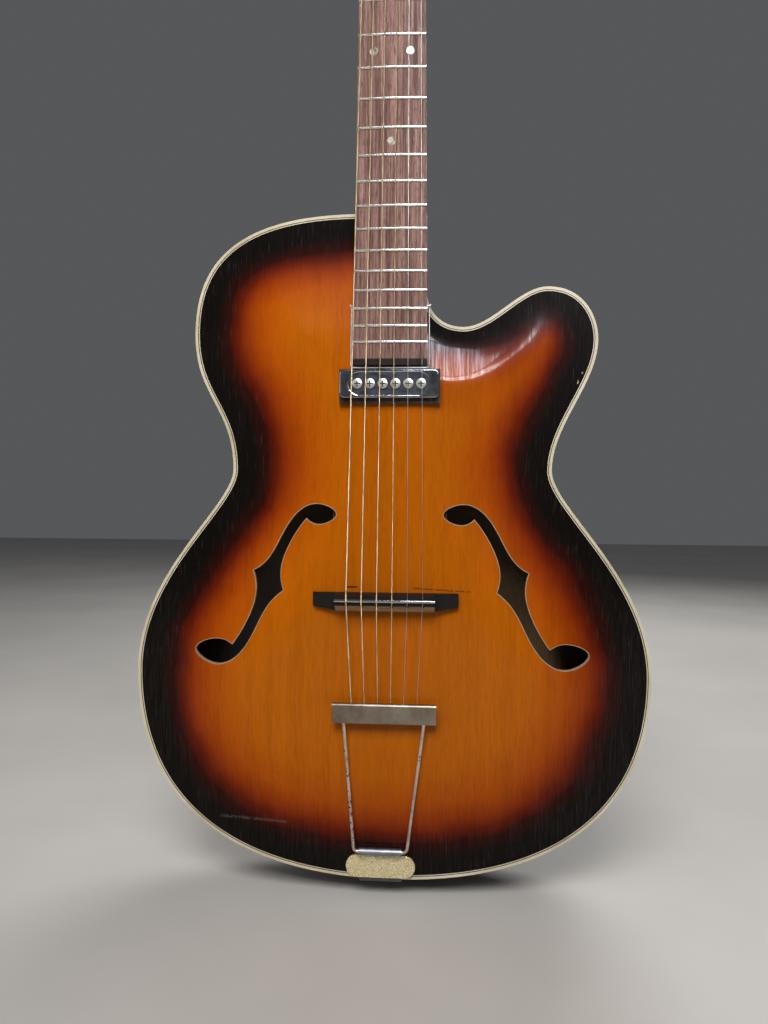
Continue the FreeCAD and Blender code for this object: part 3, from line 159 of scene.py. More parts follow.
def outline_curve(start, end, shares):
    """One outline curve's points and directions, without its last point."""
    start, end = np.array(start), np.array(end)
    run = end - start
    first = start + run * shares[:2]
    last = end - run * shares[2:]
    count = max(8, int(np.linalg.norm(run) / OUTLINE_SPACING))
    t = np.linspace(0, 1, count, endpoint=False)[:, None]
    left = 1 - t
    points = left ** 3 * start + 3 * t * left ** 2 * first + 3 * t ** 2 * left * last + t ** 3 * end
    ways = left ** 2 * (first - start) + 2 * t * left * (last - first) + t ** 2 * (end - last)
    return points, ways / np.linalg.norm(ways, axis=1)[:, None]


def straight(start, end):
    return outline_curve(start, end, (1 / 3, 1 / 3, 1 / 3, 1 / 3))


def backward(shares):
    return shares[2:] + shares[:2]


def mirrored(spot):
    return (-spot[0], spot[1])


def bass_curves():
    return [outline_curve((0, 0), mirrored(LOWER_BOUT), TAIL_SHARES),
            outline_curve(mirrored(LOWER_BOUT), mirrored(WAIST), FLANK_SHARES),
            outline_curve(mirrored(WAIST), mirrored(UPPER_BOUT), WAIST_SHARES),
            outline_curve(mirrored(UPPER_BOUT), (-HEEL_HALF, BODY_LENGTH), SHOULDER_SHARES)]


def treble_curves():
    return [straight((-HEEL_HALF, BODY_LENGTH), (HEEL_HALF, BODY_LENGTH)),
            straight((HEEL_HALF, BODY_LENGTH), (HEEL_HALF, CUTAWAY_WALL)),
            outline_curve((HEEL_HALF, CUTAWAY_WALL), CROTCH, CUTAWAY_SHARES),
            outline_curve(CROTCH, HORN_TIP, HORN_INNER_SHARES),
            outline_curve(HORN_TIP, HORN_SIDE, HORN_OUTER_SHARES),
            outline_curve(HORN_SIDE, WAIST, HORN_WAIST_SHARES),
            outline_curve(WAIST, LOWER_BOUT, backward(FLANK_SHARES)),
            outline_curve(LOWER_BOUT, (0, 0), backward(TAIL_SHARES))]


def body_rim():
    """Points of the body outline and the way into the body at each, mitred at the neck's corner."""
    curves = bass_curves() + treble_curves()
    points = np.concatenate([c[0] for c in curves])
    ways = np.concatenate([c[1] for c in curves])
    inward = np.stack([ways[:, 1], -ways[:, 0]], axis=1)
    corner = np.argmin(np.hypot(points[:, 0] - HEEL_HALF, points[:, 1] - BODY_LENGTH))
    inward[corner] = (-1, -1)
    return points, inward


RIM, RIM_INWARD = body_rim()
BASS_RIM = np.concatenate([c[0] for c in bass_curves()])
HEEL_RIM = straight((-HEEL_HALF, BODY_LENGTH), (HEEL_HALF, BODY_LENGTH))[0]
WHOLE_RIM = np.concatenate([BASS_RIM, BASS_RIM * (-1, 1), HEEL_RIM])


def distance_to(rim, spots):
    """Least distance from each spot to the points of a rim."""
    least = np.full(len(spots), np.inf)
    batch = 64
    for start in range(0, len(rim), batch):
        part = rim[start:start + batch]
        gaps = np.hypot(spots[:, :1] - part[:, 0], spots[:, 1:] - part[:, 1])
        least = np.minimum(least, gaps.min(axis=1))
    return least


def ease(share):
    share = np.clip(share, 0, 1)
    return share ** 3 * (share * (share * 6 - 15) + 10)


def arch_share(spots):
    """Share of the full arch that the plates reach over each spot."""
    climb = ease((distance_to(WHOLE_RIM, spots) - ARCH_MARGIN) / ARCH_RUN)
    fall = ease((distance_to(RIM, spots) - ARCH_MARGIN) / CUTAWAY_ARCH_RUN)
    return climb * fall


def inside(loops, spots):
    """Which spots lie in the region that the loops bound, holes left out."""
    hit = np.zeros(len(spots), bool)
    for loop in loops:
        for a, b in zip(loop, np.roll(loop, -1, axis=0)):
            over = (a[1] > spots[:, 1]) != (b[1] > spots[:, 1])
            rise = b[1] - a[1] if b[1] != a[1] else 1
            hit ^= over & (spots[:, 0] < a[0] + (spots[:, 1] - a[1]) * (b[0] - a[0]) / rise)
    return hit


def spline(points, count=18):
    """Smooth line through a few points, without its last point."""
    points = np.array(points, float)
    knots = np.concatenate([[0], np.cumsum(np.hypot(*np.diff(points, axis=0).T))])
    gaps = np.diff(knots)
    size = len(points)
    system = np.zeros((size, size))
    right = np.zeros((size, 2))
    slopes = np.diff(points, axis=0) / gaps[:, None]
    for k in range(1, size - 1):
        system[k, k - 1:k + 2] = gaps[k - 1], 2 * (gaps[k - 1] + gaps[k]), gaps[k]
        right[k] = 6 * (slopes[k] - slopes[k - 1])
    system[0, :2] = 1, -1
    system[-1, -2:] = -1, 1
    bends = np.linalg.solve(system, right)
    line = []
    for k in range(size - 1):
        for t in np.linspace(0, 1, count, endpoint=False):
            a, b, h = 1 - t, t, gaps[k]
            line.append(a * points[k] + b * points[k + 1]
                        + ((a ** 3 - a) * bends[k] + (b ** 3 - b) * bends[k + 1]) * h * h / 6)
    return np.array(line)


def sound_hole(side):
    low = SADDLE_HEIGHT - HOLE_DROP
    stretches = []
    for shares in HOLE_SHARES:
        points = [(side * (HOLE_INSET + HOLE_SIZE[0] * a), low + HOLE_SIZE[1] * b) for a, b in shares]
        stretches.append(spline(points))
    return np.concatenate(stretches)


def widened(loop, reach):
    """A closed loop moved outwards by the reach, whichever way it runs."""
    way = np.roll(loop, -1, axis=0) - np.roll(loop, 1, axis=0)
    way /= np.maximum(np.linalg.norm(way, axis=1), 1e-9)[:, None]
    out = np.stack([way[:, 1], -way[:, 0]], axis=1)
    area = np.sum(loop[:, 0] * np.roll(loop[:, 1], -1) - np.roll(loop[:, 0], -1) * loop[:, 1])
    return loop + out * reach * np.sign(area)


# Mesh pieces

def add_piece(name, places, faces, body):
    mesh = bpy.data.meshes.new(name)
    mesh.from_pydata([tuple(p) for p in places], [], [tuple(f) for f in faces])
    mesh.polygons.foreach_set("use_smooth", [True] * len(mesh.polygons))
    mesh.update()
    piece = bpy.data.objects.new(name, mesh)
    bpy.context.scene.collection.objects.link(piece)
    if body:
        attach(piece, body)
    return piece


def row_place(x, y, z):
    """Places in the row's frame, in metres, from millimetres above the tail."""
    return np.stack([x, y, z + TAIL_LIFT], axis=1) * MM


def flat_cells(loops, inner_lines):
    """Triangles over the region that the loops bound, with the inner lines' points and spots between."""
    rim = np.concatenate(loops)
    low, high = rim.min(axis=0), rim.max(axis=0)
    half = PLATE_SPACING / 2
    columns = np.arange(low[0] + half, high[0], PLATE_SPACING)
    rows = np.arange(low[1] + half, high[1], PLATE_SPACING * math.sqrt(3) / 2)
    spots = np.array([(x + (half if k % 2 else 0), z) for k, z in enumerate(rows) for x in columns])
    spots = spots[inside(loops, spots)]
    spots = spots[distance_to(rim, spots) > LINE_MARGIN]
    for line in inner_lines:
        spots = np.concatenate([line, spots[distance_to(line, spots) > LINE_MARGIN]])
    edges = []
    start = 0
    for loop in loops:
        ring = list(range(start, start + len(loop)))
        edges += list(zip(ring, ring[1:] + ring[:1]))
        start += len(loop)
    flat = [Vector(p) for p in np.concatenate([rim, spots])]
    found = delaunay_2d_cdt(flat, edges, [], 0, MERGE_REACH)
    places = np.array([tuple(v) for v in found[0]])
    cells = np.array(found[2])
    middles = places[cells].mean(axis=1)
    return places, cells[inside(loops, middles)]


def turned_out(places, cells, outward):
    """The cells, each turned so that it faces outwards."""
    first, second = (places[cells[:, k]] - places[cells[:, 0]] for k in (1, 2))
    turn = first[:, 0] * second[:, 1] - first[:, 1] * second[:, 0]
    return np.where((turn * outward < 0)[:, None], cells, cells[:, ::-1])


def edge_walls(cells, count):
    """Walls from the free edges of the face's cells to the inside, whose points come a count later."""
    seen = {}
    for a, b, c in cells:
        for pair in ((a, b), (b, c), (c, a)):
            seen[pair] = True
    return [(b, a, a + count, b + count) for a, b in seen if (b, a) not in seen]


def arched_plate(name, loops, edge, rise, depth, eased_loops, body):
    """Closed arched plate. Its face lies at the edge level plus the rise times the arch, and its inside
    is set in by the depth. The first loop is the rim, and eased loops are hole edges worn round. The
    worn edges, the walls and the inside carry the second material."""
    places, cells = flat_cells(loops, [widened(loop, HOLE_RIM) for loop in eased_loops])
    level = edge + rise * arch_share(places)
    face = row_place(places[:, 0], level, places[:, 1])
    back = row_place(places[:, 0], level + depth, places[:, 1])
    sunk = np.zeros(len(places))
    for loop in eased_loops:
        sunk[distance_to(loop, places) < ON_LINE] = 1
    face[:, 1] += sunk * math.copysign(HOLE_EASE, depth) * MM
    outward = np.sign(-depth)
    front_cells = turned_out(places, cells, outward)
    back_cells = front_cells[:, ::-1] + len(places)
    walls = edge_walls(front_cells, len(places))
    faces = [*front_cells, *back_cells, *walls]
    piece = add_piece(name, np.concatenate([face, back]), faces, body)
    worn = sunk[front_cells].max(axis=1) > 0
    index = np.concatenate([worn, np.ones(len(back_cells) + len(walls))]).astype(int)
    piece.data.polygons.foreach_set("material_index", index)
    set_arch_normals(piece, places, front_cells, back_cells, walls, rise, outward)
    set_burst(piece, places)
    return piece


def set_arch_normals(piece, places, front_cells, back_cells, walls, rise, outward):
    """Normals of the true arch on both faces, so that reflections run smoothly."""
    slope = [(arch_share(places + move) - arch_share(places - move)) * rise / (2 * SLOPE_STEP)
             for move in (np.array([SLOPE_STEP, 0]), np.array([0, SLOPE_STEP]))]
    normals = np.stack([-slope[0], np.ones(len(places)), -slope[1]], axis=1)
    normals *= outward / np.linalg.norm(normals, axis=1)[:, None]
    both = np.concatenate([normals, -normals])
    corner = [both[v] for cells in (front_cells, back_cells) for cell in cells for v in cell]
    for wall in walls:
        a, b = places[wall[0]], places[wall[1]]
        side = np.array([(b - a)[1], 0, -(b - a)[0]])
        side /= max(np.linalg.norm(side), 1e-9)
        corner += [side * outward] * 4
    piece.data.normals_split_custom_set([tuple(n) for n in corner])


def burst_width(places):
    """How broad the dark edge is at each place; it narrows at the cutaway."""
    broad = np.ones(len(places))
    for spot, reach, more in BURST_SPOTS:
        broad += more * np.exp(-np.sum((places - spot) ** 2, axis=1) / (2 * reach ** 2))
    return broad


def set_burst(piece, places):
    """Depth in from the body's rim at the points of both faces, which the sunburst's colours go by."""
    depth = distance_to(RIM, places) / burst_width(places)
    attribute = piece.data.attributes.new("burst", "FLOAT", "POINT")
    attribute.data.foreach_set("value", np.concatenate([depth, depth]).astype(np.float32))


# Shader maths

class Value:
    """A node's output, so that shader maths reads as plain sums."""

    def __init__(self, finish, output):
        self.finish = finish
        self.output = output

    def maths(self, operation, first, second=0.0):
        return self.finish.node("ShaderNodeMath", {"operation": operation}, {0: first, 1: second})

    def __add__(self, other):
        return self.maths("ADD", self, other)

    def __sub__(self, other):
        return self.maths("SUBTRACT", self, other)

    def __rsub__(self, other):
        return self.maths("SUBTRACT", other, self)

    def __mul__(self, other):
        return self.maths("MULTIPLY", self, other)

    def __truediv__(self, other):
        return self.maths("DIVIDE", self, other)

    def __pow__(self, other):
        return self.maths("POWER", self, other)

    __radd__ = __add__
    __rmul__ = __mul__

    def size(self):
        return self.maths("ABSOLUTE", self)

    def floor(self):
        return self.maths("FLOOR", self)

    def wave(self, pitch):
        """Sine wave with the given pitch."""
        return self.maths("SINE", self * (2 * math.pi / pitch))

    def above(self, low, high):
        """Zero below the low level, one above the high one, and a smooth rise between."""
        return self.finish.node("ShaderNodeMapRange", {"interpolation_type": "SMOOTHSTEP"},
                                {"Value": self, "From Min": low, "From Max": high})


class Finish:
    """One material: a Principled shader and the nodes that feed it."""

    def __init__(self, name, **constants):
        self.material = bpy.data.materials.new(name)
        self.material.use_nodes = True
        self.tree = self.material.node_tree
        self.shader = self.tree.nodes["Principled BSDF"]
        for socket, value in constants.items():
            self.shader.inputs[socket.replace("_", " ")].default_value = value

    def node(self, kind, settings, sockets, output=0):
        node = self.tree.nodes.new(kind)
        for key, value in settings.items():
            if key == "stops":
                self.set_stops(node.color_ramp, value)
            else:
                setattr(node, key, value)
        for key, value in sockets.items():
            self.feed(node.inputs[key], value)
        return Value(self, node.outputs[output])

    def feed(self, socket, value):
        if isinstance(value, Value):
            self.tree.links.new(value.output, socket)
        else:
            socket.default_value = value

    def set_stops(self, ramp, stops):
        while len(ramp.elements) < len(stops):
            ramp.elements.new(1.0)
        for element, (place, colour) in zip(ramp.elements, stops):
            element.position = place
            element.color = (*colour, 1)

    def place(self):
        """Place on the object in millimetres, in the row's frame at rest."""
        coordinate = self.node("ShaderNodeTexCoord", {}, {}, "Object")
        return self.node("ShaderNodeVectorMath", {"operation": "SCALE"},
                         {0: coordinate, "Scale": 1 / MM})

    def axis(self, name):
        """One coordinate of the place, in millimetres."""
        return self.node("ShaderNodeSeparateXYZ", {}, {0: self.place()}, name)

    def stretched(self, x, y, z):
        return self.node("ShaderNodeVectorMath", {"operation": "MULTIPLY"},
                         {0: self.place(), 1: (x, y, z)})

    def noise(self, vector, scale, detail=3.0, roughness=0.55):
        return self.node("ShaderNodeTexNoise", {}, {"Vector": vector, "Scale": scale, "Detail": detail,
                                                    "Roughness": roughness})

    def ramp(self, value, stops):
        return self.node("ShaderNodeValToRGB", {"stops": stops}, {0: value})

    def mix(self, factor, first, second, way="MIX"):
        """Colour mix; plain colours get their alpha."""
        first, second = (c if isinstance(c, Value) else (*c, 1) for c in (first, second))
        return self.node("ShaderNodeMix", {"data_type": "RGBA", "blend_type": way},
                         {0: factor, 6: first, 7: second}, 2)

    def colour(self, value):
        self.feed(self.shader.inputs["Base Color"], value)

    def rough(self, value):
        self.feed(self.shader.inputs["Roughness"], value)

    def metal(self, value):
        self.feed(self.shader.inputs["Metallic"], value)

    def coat(self, value):
        self.feed(self.shader.inputs["Coat Weight"], value)

    def stroke(self, x, z, start, end, wide):
        """One on a straight stroke between two places on the top, in millimetres, and zero off it."""
        run = np.subtract(end, start)
        length = float(np.hypot(*run))
        way = [float(c) for c in run / length]
        along = (x - start[0]) * way[0] + (z - start[1]) * way[1]
        off = ((x - start[0]) * way[1] - (z - start[1]) * way[0]).size()
        within = along.above(0, 2) * (1 - along.above(length - 2, length))
        return (1 - off.above(wide / 2, wide)) * within

    def bump(self, height, distance, strength):
        normal = self.node("ShaderNodeBump", {}, {"Height": height, "Distance": distance * MM,
                                                  "Strength": strength})
        self.feed(self.shader.inputs["Normal"], normal)


# Finishes

def sunburst(name, stops, grain_strength):
    """Lacquered wood, black at the edge and amber in the middle, with fine upright grain; the gloss lies
    in streaks along the grain. Returns the finish and its colour."""
    finish = Finish(name, Specular_IOR_Level=0.03, Coat_Roughness=0.11)
    burst = finish.node("ShaderNodeAttribute", {"attribute_name": "burst"}, {}, "Fac")
    cloud = finish.noise(finish.place(), 0.02, 2.0)
    depth = (burst + (cloud - 0.5) * BURST_WANDER) / BURST_REACH
    base = finish.ramp(depth, [(place / BURST_REACH, colour) for place, colour in stops])
    fine = finish.noise(finish.stretched(1, 0.022, 0.022), 1.1, 4.0, 0.65)
    dash = finish.noise(finish.stretched(1, 0.12, 0.12), 0.75, 2.0, 0.5)
    broad = finish.noise(finish.stretched(1, 0.012, 0.012), 0.11, 3.0)
    shade = finish.ramp(fine * 0.40 + dash * 0.32 + broad * 0.28, [
        (0.36, (0.62, 0.55, 0.48)), (0.5, (0.95, 0.95, 0.95)), (0.64, (1.18, 1.14, 1.05))])
    wood = finish.mix(grain_strength, base, finish.mix(1.0, base, shade, "MULTIPLY"))
    check = finish.noise(finish.stretched(1, 0.025, 0.025), 2.3, 2.0).above(0.62, 0.72)
    dark = 1 - depth.above(0.22, 0.42)
    wood = finish.mix(check * dark * 0.22, wood, (0.10, 0.085, 0.07))
    haze = finish.noise(finish.place(), 0.03, 4.0)
    streak = finish.noise(finish.stretched(1, 0.03, 0.03), 1.0, 3.0, 0.65)
    polish = 0.5 + finish.axis("Z").above(*POLISH_HEIGHTS) * 0.5
    finish.coat((0.03 + haze * 0.08 + streak.above(0.37, 0.66) * 0.44) * polish)
    finish.rough(0.26 + haze * 0.12)
    finish.bump(streak + check * 0.2, 0.08, 0.6)
    return finish, wood


def top_finish():
    """Top: amber middle, with the old bridge line, a painted sheen low on the left and chips along the
    horn.
    """
    finish, wood = sunburst("sunburst_top", [
        (0, (0.0036, 0.0028, 0.0024)), (17, (0.0048, 0.0032, 0.0026)), (27, (0.021, 0.0030, 0.0015)),
        (35, (0.095, 0.0085, 0.0011)), (44, (0.215, 0.0280, 0.0010)), (59, (0.325, 0.0600, 0.0010)),
        (84, (0.368, 0.0880, 0.0010)), (120, (0.350, 0.0880, 0.0010))], 0.55)
    x, z = finish.axis("X"), finish.axis("Z")
    rag = finish.noise(finish.place(), 0.35, 3.0)
    for start, end, wide, colour, strength in TOP_MARKS:
        mark = finish.stroke(x, z, start, end, wide) * rag.above(0.38, 0.52) * strength
        wood = finish.mix(mark, wood, colour)
    finish.colour(wood)
    return finish.material


def back_finish():
    """Back: a broader dark edge and a redder middle."""
    finish, wood = sunburst("sunburst_back", [
        (0, (0.0060, 0.0045, 0.0034)), (22, (0.0075, 0.0048, 0.0036)), (36, (0.024, 0.0045, 0.0024)),
        (52, (0.085, 0.011, 0.0028)), (74, (0.19, 0.030, 0.0030)), (104, (0.29, 0.056, 0.0040)),
        (120, (0.32, 0.066, 0.0045))], 0.5)
    finish.colour(wood)
    return finish.material


def rib_finish():
    """Dark lacquered sides, a little redder half-way between the edges."""
    finish = Finish("sunburst_ribs", Specular_IOR_Level=0.15, Coat_Weight=0.30, Coat_Roughness=0.08)
    cloud = finish.noise(finish.place(), 0.03, 2.0)
    edge = finish.axis("Y").size() + (cloud - 0.5) * 10
    base = finish.ramp(edge / 36, [(0.0, (0.060, 0.0105, 0.0040)), (0.35, (0.040, 0.0075, 0.0034)),
                                   (0.7, (0.012, 0.0050, 0.0034)), (1.0, (0.0060, 0.0045, 0.0034))])
    flame = finish.noise(finish.stretched(1, 0.12, 1), 0.16, 2.0)
    grain = finish.noise(finish.stretched(0.05, 1, 0.05), 1.2, 4.0, 0.65)
    shade = finish.ramp(flame * 0.6 + grain * 0.4, [(0.3, (0.55, 0.5, 0.45)), (0.7, (1.35, 1.25, 1.15))])
    finish.colour(finish.mix(0.8, base, finish.mix(1.0, base, shade, "MULTIPLY")))
    finish.rough(0.12 + finish.noise(finish.place(), 0.04, 4.0) * 0.16)
    finish.bump(grain, 0.03, 0.5)
    return finish.material


def raw_wood(name, stops, rough, **constants):
    """Wood without lacquer, its grain upright."""
    finish = Finish(name, **constants)
    grain = finish.noise(finish.stretched(1, 1, 0.03), 0.9, 4.0, 0.6)
    finish.colour(finish.ramp(grain, stops))
    finish.rough(rough + grain * 0.2)
    finish.bump(grain, 0.08, 0.6)
    return finish.material


def bare_wood():
    """Spruce and maple inside the body and at worn hole edges."""
    return raw_wood("bare_wood", [(0.25, (0.17, 0.105, 0.052)), (0.5, (0.28, 0.185, 0.100)),
                                  (0.75, (0.35, 0.245, 0.145))], 0.62)


def shaded_bar_wood():
    """Spruce of the bars under the top, in a dark brown that is painted shade for the dim inside of the
    body.
    """
    # painted shade: the bars' wood is made near-black brown so that they look shaded inside the body
    return raw_wood("shaded_bar_wood", [(0.3, (0.016, 0.010, 0.006)), (0.7, (0.040, 0.024, 0.013))], 0.7,
                    Specular_IOR_Level=0.1)


def binding_finish():
    """Cream binding, unevenly yellowed, with brown specks."""
    finish = Finish("cream_binding", Coat_Weight=0.5, Coat_Roughness=0.12)
    age = finish.noise(finish.place(), 0.025, 4.0)
    specks = finish.noise(finish.place(), 0.9, 3.0)
    cream = finish.ramp(age, [(0.3, (0.40, 0.34, 0.22)), (0.5, (0.50, 0.44, 0.31)),
                              (0.7, (0.56, 0.51, 0.39))])
    finish.colour(finish.mix(specks.above(0.62, 0.75) * 0.6, cream, (0.24, 0.17, 0.08)))
    finish.rough(0.3 + age * 0.2)
    finish.bump(specks, 0.03, 0.4)
    return finish.material


def black_line_finish():
    finish = Finish("black_line")
    dust = finish.noise(finish.place(), 0.8, 3.0)
    finish.colour(finish.ramp(dust, [(0.4, (0.008, 0.007, 0.006)), (0.75, (0.05, 0.04, 0.03))]))
    finish.rough(0.35 + dust * 0.2)
    return finish.material


def rosewood():
    """Dry, streaky fingerboard wood with open pores, near black over its last few millimetres."""
    finish = Finish("rosewood", Specular_IOR_Level=0.10)
    streak = finish.noise(finish.stretched(1, 1, 0.02), 0.42, 4.0, 0.6)
    pores = finish.noise(finish.stretched(1, 1, 0.05), 2.3, 3.0, 0.6)
    wood = finish.ramp(streak, [(0.32, (0.060, 0.028, 0.021)), (0.44, (0.135, 0.072, 0.058)),
                                (0.55, (0.22, 0.124, 0.104)), (0.70, (0.33, 0.205, 0.178))])
    wood = finish.mix(pores.above(0.5, 0.64) * 0.75, wood, (0.040, 0.020, 0.016))
    # the last few millimetres of the board towards the body are painted near black
    end_band = 1 - (finish.axis("Z") - BOARD_END).above(4.6, 5.8)
    finish.colour(finish.mix(end_band * 0.94, wood, (0.006, 0.005, 0.004)))
    finish.rough(0.42 + pores * 0.25)
    finish.bump(pores + streak * 0.5, 0.06, 0.6)
    return finish.material


def scratched_metal(name, low, high):
    """Metal between two roughnesses, with fine scratches. Returns the finish and its cloud."""
    finish = Finish(name, Metallic=1.0)
    cloud = finish.noise(finish.place(), 0.12, 5.0, 0.6)
    fine = finish.noise(finish.stretched(0.15, 1, 1), 2.6, 3.0)
    finish.rough(low + cloud * (high - low) + fine * 0.05)
    finish.bump(fine, 0.012, 0.35)
    return finish, cloud


def darker(tint, share):
    return tuple(c * share for c in tint)


def polished_metal(name, tint, low, high):
    """Plated or drawn metal with smudges and fine scratches."""
    finish, cloud = scratched_metal(name, low, high)
    finish.colour(finish.mix(cloud.above(0.42, 0.72), tint, darker(tint, 0.736)))
    return finish.material


def bracket_finish():
    """Hinge bracket: dull nickel, with painted shade in near black where it goes down over the tail
    edge.
    """
    finish = scratched_metal("bracket_nickel", 0.30, 0.50)[0]
    # painted shade: the part that goes down over the tail edge is darkened as if shaded
    painted_shade = finish.axis("Y").above(TOP_EDGE - 2, TOP_EDGE - 1)
    plate = finish.noise(finish.place(), 0.2, 3.0) * 0.22 + 0.16
    finish.colour(finish.mix(painted_shade * 0.9, plate, (0.012, 0.011, 0.010)))
    return finish.material


def cover_finish():
    """Chrome pickup cover, cloudy with age, with a painted highlight on the rolled edge round its
    window.
    """
    finish = Finish("pickup_cover", Metallic=1.0)
    end = WINDOW[1] / 2
    along = (finish.axis("X") - POLE_MIDDLE[0]).size() - (WINDOW[0] / 2 - end)
    along = along * along.above(-0.01, 0.01)
    rise = finish.axis("Z") - POLE_MIDDLE[2]
    edge = (along * along + rise * rise) ** 0.5 - end
    cloud = finish.noise(finish.place(), 0.10, 5.0, 0.6)
    face = finish.ramp(cloud, [(0.35, (0.26, 0.28, 0.32)), (0.5, (0.42, 0.44, 0.48)),
                               (0.68, (0.60, 0.61, 0.63))])
    # painted highlight: a lighter band along the window's rolled edge
    rim = 1 - edge.above(0.5, 0.9)
    finish.colour(finish.mix(rim, face, (0.50, 0.52, 0.55)))
    finish.rough(0.07 + cloud * 0.12)
    finish.bump(edge.above(0.0, 0.9) + cloud * 0.08, 0.22, 1.0)
    return finish.material


def rusted_nickel():
    """Tailpiece wire: dull plate with dark rust specks."""
    finish = Finish("rusted_nickel")
    cloud = finish.noise(finish.place(), 0.10, 4.0)
    specks = finish.noise(finish.place(), 0.40, 2.0, 0.5)
    patch = finish.noise(finish.place(), 0.035, 2.0)
    rust = (specks + (patch - 0.5) * 0.7).above(0.63, 0.67)
    plate = finish.mix(cloud.above(0.35, 0.7), (0.72, 0.60, 0.53), (0.52, 0.41, 0.34))
    finish.colour(finish.mix(rust, plate, (0.035, 0.02, 0.014)))
    finish.metal(1 - rust)
    finish.rough(0.2 + cloud * 0.22 + rust * 0.4)
    finish.bump(specks - rust * 0.5, 0.05, 0.5)
    return finish.material


def worn_bar_with_painted_reflection():
    """Folded tailpiece bar: satin nickel, worn, with brown reflections painted into its colour."""
    finish = Finish("worn_bar_with_painted_reflection", Metallic=1.0)
    wear_and_reflection = finish.noise(finish.place(), 0.045, 4.0, 0.6)
    fine = finish.noise(finish.stretched(0.08, 1, 1), 2.2, 4.0, 0.7)
    # painted reflection: the brown tint stands for brownish reflections, patchy with wear
    finish.colour(finish.ramp(wear_and_reflection, [(0.3, (0.15, 0.118, 0.085)), (0.5, (0.25, 0.205, 0.155)),
                                      (0.7, (0.33, 0.29, 0.24))]))
    finish.rough(0.2 + wear_and_reflection * 0.2 + fine * 0.1)
    finish.bump(fine, 0.02, 0.5)
    return finish.material


def string_finish(name, tint, wound):
    """Tarnished string; a wound one has the ridges of its winding."""
    finish = Finish(name, Metallic=1.0)
    tarnish = finish.noise(finish.stretched(1, 1, 0.15), 0.35, 3.0)
    finish.colour(finish.mix(tarnish.above(0.4, 0.7), tint, darker(tint, 0.6)))
    finish.rough(0.22 + tarnish * 0.2)
    if wound:
        finish.bump(finish.axis("Z").wave(WINDING_PITCH), 0.06, 0.6)
    return finish.material


def pearl():
    """Position dots, some of them yellowed and dull."""
    finish = Finish("pearl", Coat_Weight=0.6, Coat_Roughness=0.06)
    bands = finish.noise(finish.stretched(1, 1, 0.5), 0.33, 3.0, 0.6)
    finish.colour(finish.ramp(bands, [(0.34, (0.10, 0.075, 0.035)), (0.44, (0.25, 0.21, 0.115)),
                                      (0.52, (0.36, 0.37, 0.33)), (0.62, (0.46, 0.47, 0.45))]))
    finish.rough(0.16 + bands * 0.2)
    return finish.material


def bone():
    finish = Finish("bone", Coat_Weight=0.3, Coat_Roughness=0.2)
    grain = finish.noise(finish.stretched(0.2, 1, 1), 0.9, 4.0)
    finish.colour(finish.ramp(grain, [(0.3, (0.56, 0.48, 0.32)), (0.6, (0.72, 0.66, 0.50))]))
    finish.rough(0.32 + grain * 0.2)
    finish.bump(grain, 0.03, 0.4)
    return finish.material


def neck_finish():
    """Dark red-brown lacquer over straight grain, paler where hands have worn it."""
    finish = Finish("neck_wood", Coat_Weight=0.9, Coat_Roughness=0.10)
    grain = finish.noise(finish.stretched(1, 1, 0.02), 0.8, 4.0, 0.6)
    wear = finish.noise(finish.stretched(1, 1, 0.3), 0.02, 3.0)
    wood = finish.ramp(grain, [(0.3, (0.018, 0.0065, 0.0040)), (0.55, (0.036, 0.0115, 0.0060)),
                               (0.75, (0.055, 0.019, 0.0090))])
    finish.colour(finish.mix(wear.above(0.45, 0.75) * 0.5, wood, (0.085, 0.032, 0.014)))
    finish.rough(0.24 + wear * 0.18)
    finish.bump(grain, 0.03, 0.5)
    return finish.material


def black_lacquer():
    """Face of the head: black, rubbed dull."""
    finish = Finish("black_lacquer", Specular_IOR_Level=0.05, Coat_Weight=0.1, Coat_Roughness=0.08)
    haze = finish.noise(finish.place(), 0.06, 4.0)
    grain = finish.noise(finish.stretched(1, 1, 0.03), 1.0, 3.0)
    finish.colour(finish.ramp(haze, [(0.35, (0.006, 0.0055, 0.005)), (0.75, (0.016, 0.013, 0.011))]))
    finish.rough(0.2 + haze * 0.2)
    finish.bump(grain, 0.02, 0.4)
    return finish.material


def black_wood():
    """Bridge: black-stained wood, light brown on the slope facing the tail, a little lighter facing the
    neck.
    """
    finish = Finish("black_wood", Specular_IOR_Level=0.10)
    grain = finish.noise(finish.stretched(0.04, 1, 1), 0.9, 4.0, 0.6)
    normal = finish.node("ShaderNodeTexCoord", {}, {}, "Normal")
    lean = finish.node("ShaderNodeSeparateXYZ", {}, {0: normal}, "Z")
    # colour follows the way each face points: light brown towards the tail, a little lighter towards the
    # neck
    slope, neck_facing = (way.above(0.15, 0.35) * (1 - way.above(0.9, 0.97)) for way in (0 - lean, lean))
    off = (finish.axis("X") - BRIDGE_MIDDLE).size()
    slope = slope * (1 - off.above(38.5, 40.0)) * grain.above(0.25, 0.5)
    base = finish.ramp(grain, [(0.3, (0.0055, 0.0050, 0.0046)), (0.7, (0.014, 0.0115, 0.0090))])
    finish.colour(finish.mix(slope * 0.8 + neck_facing * 0.25, base, (0.40, 0.28, 0.165)))
    finish.rough(0.38 + grain * 0.22)
    finish.bump(grain, 0.06, 0.6)
    return finish.material


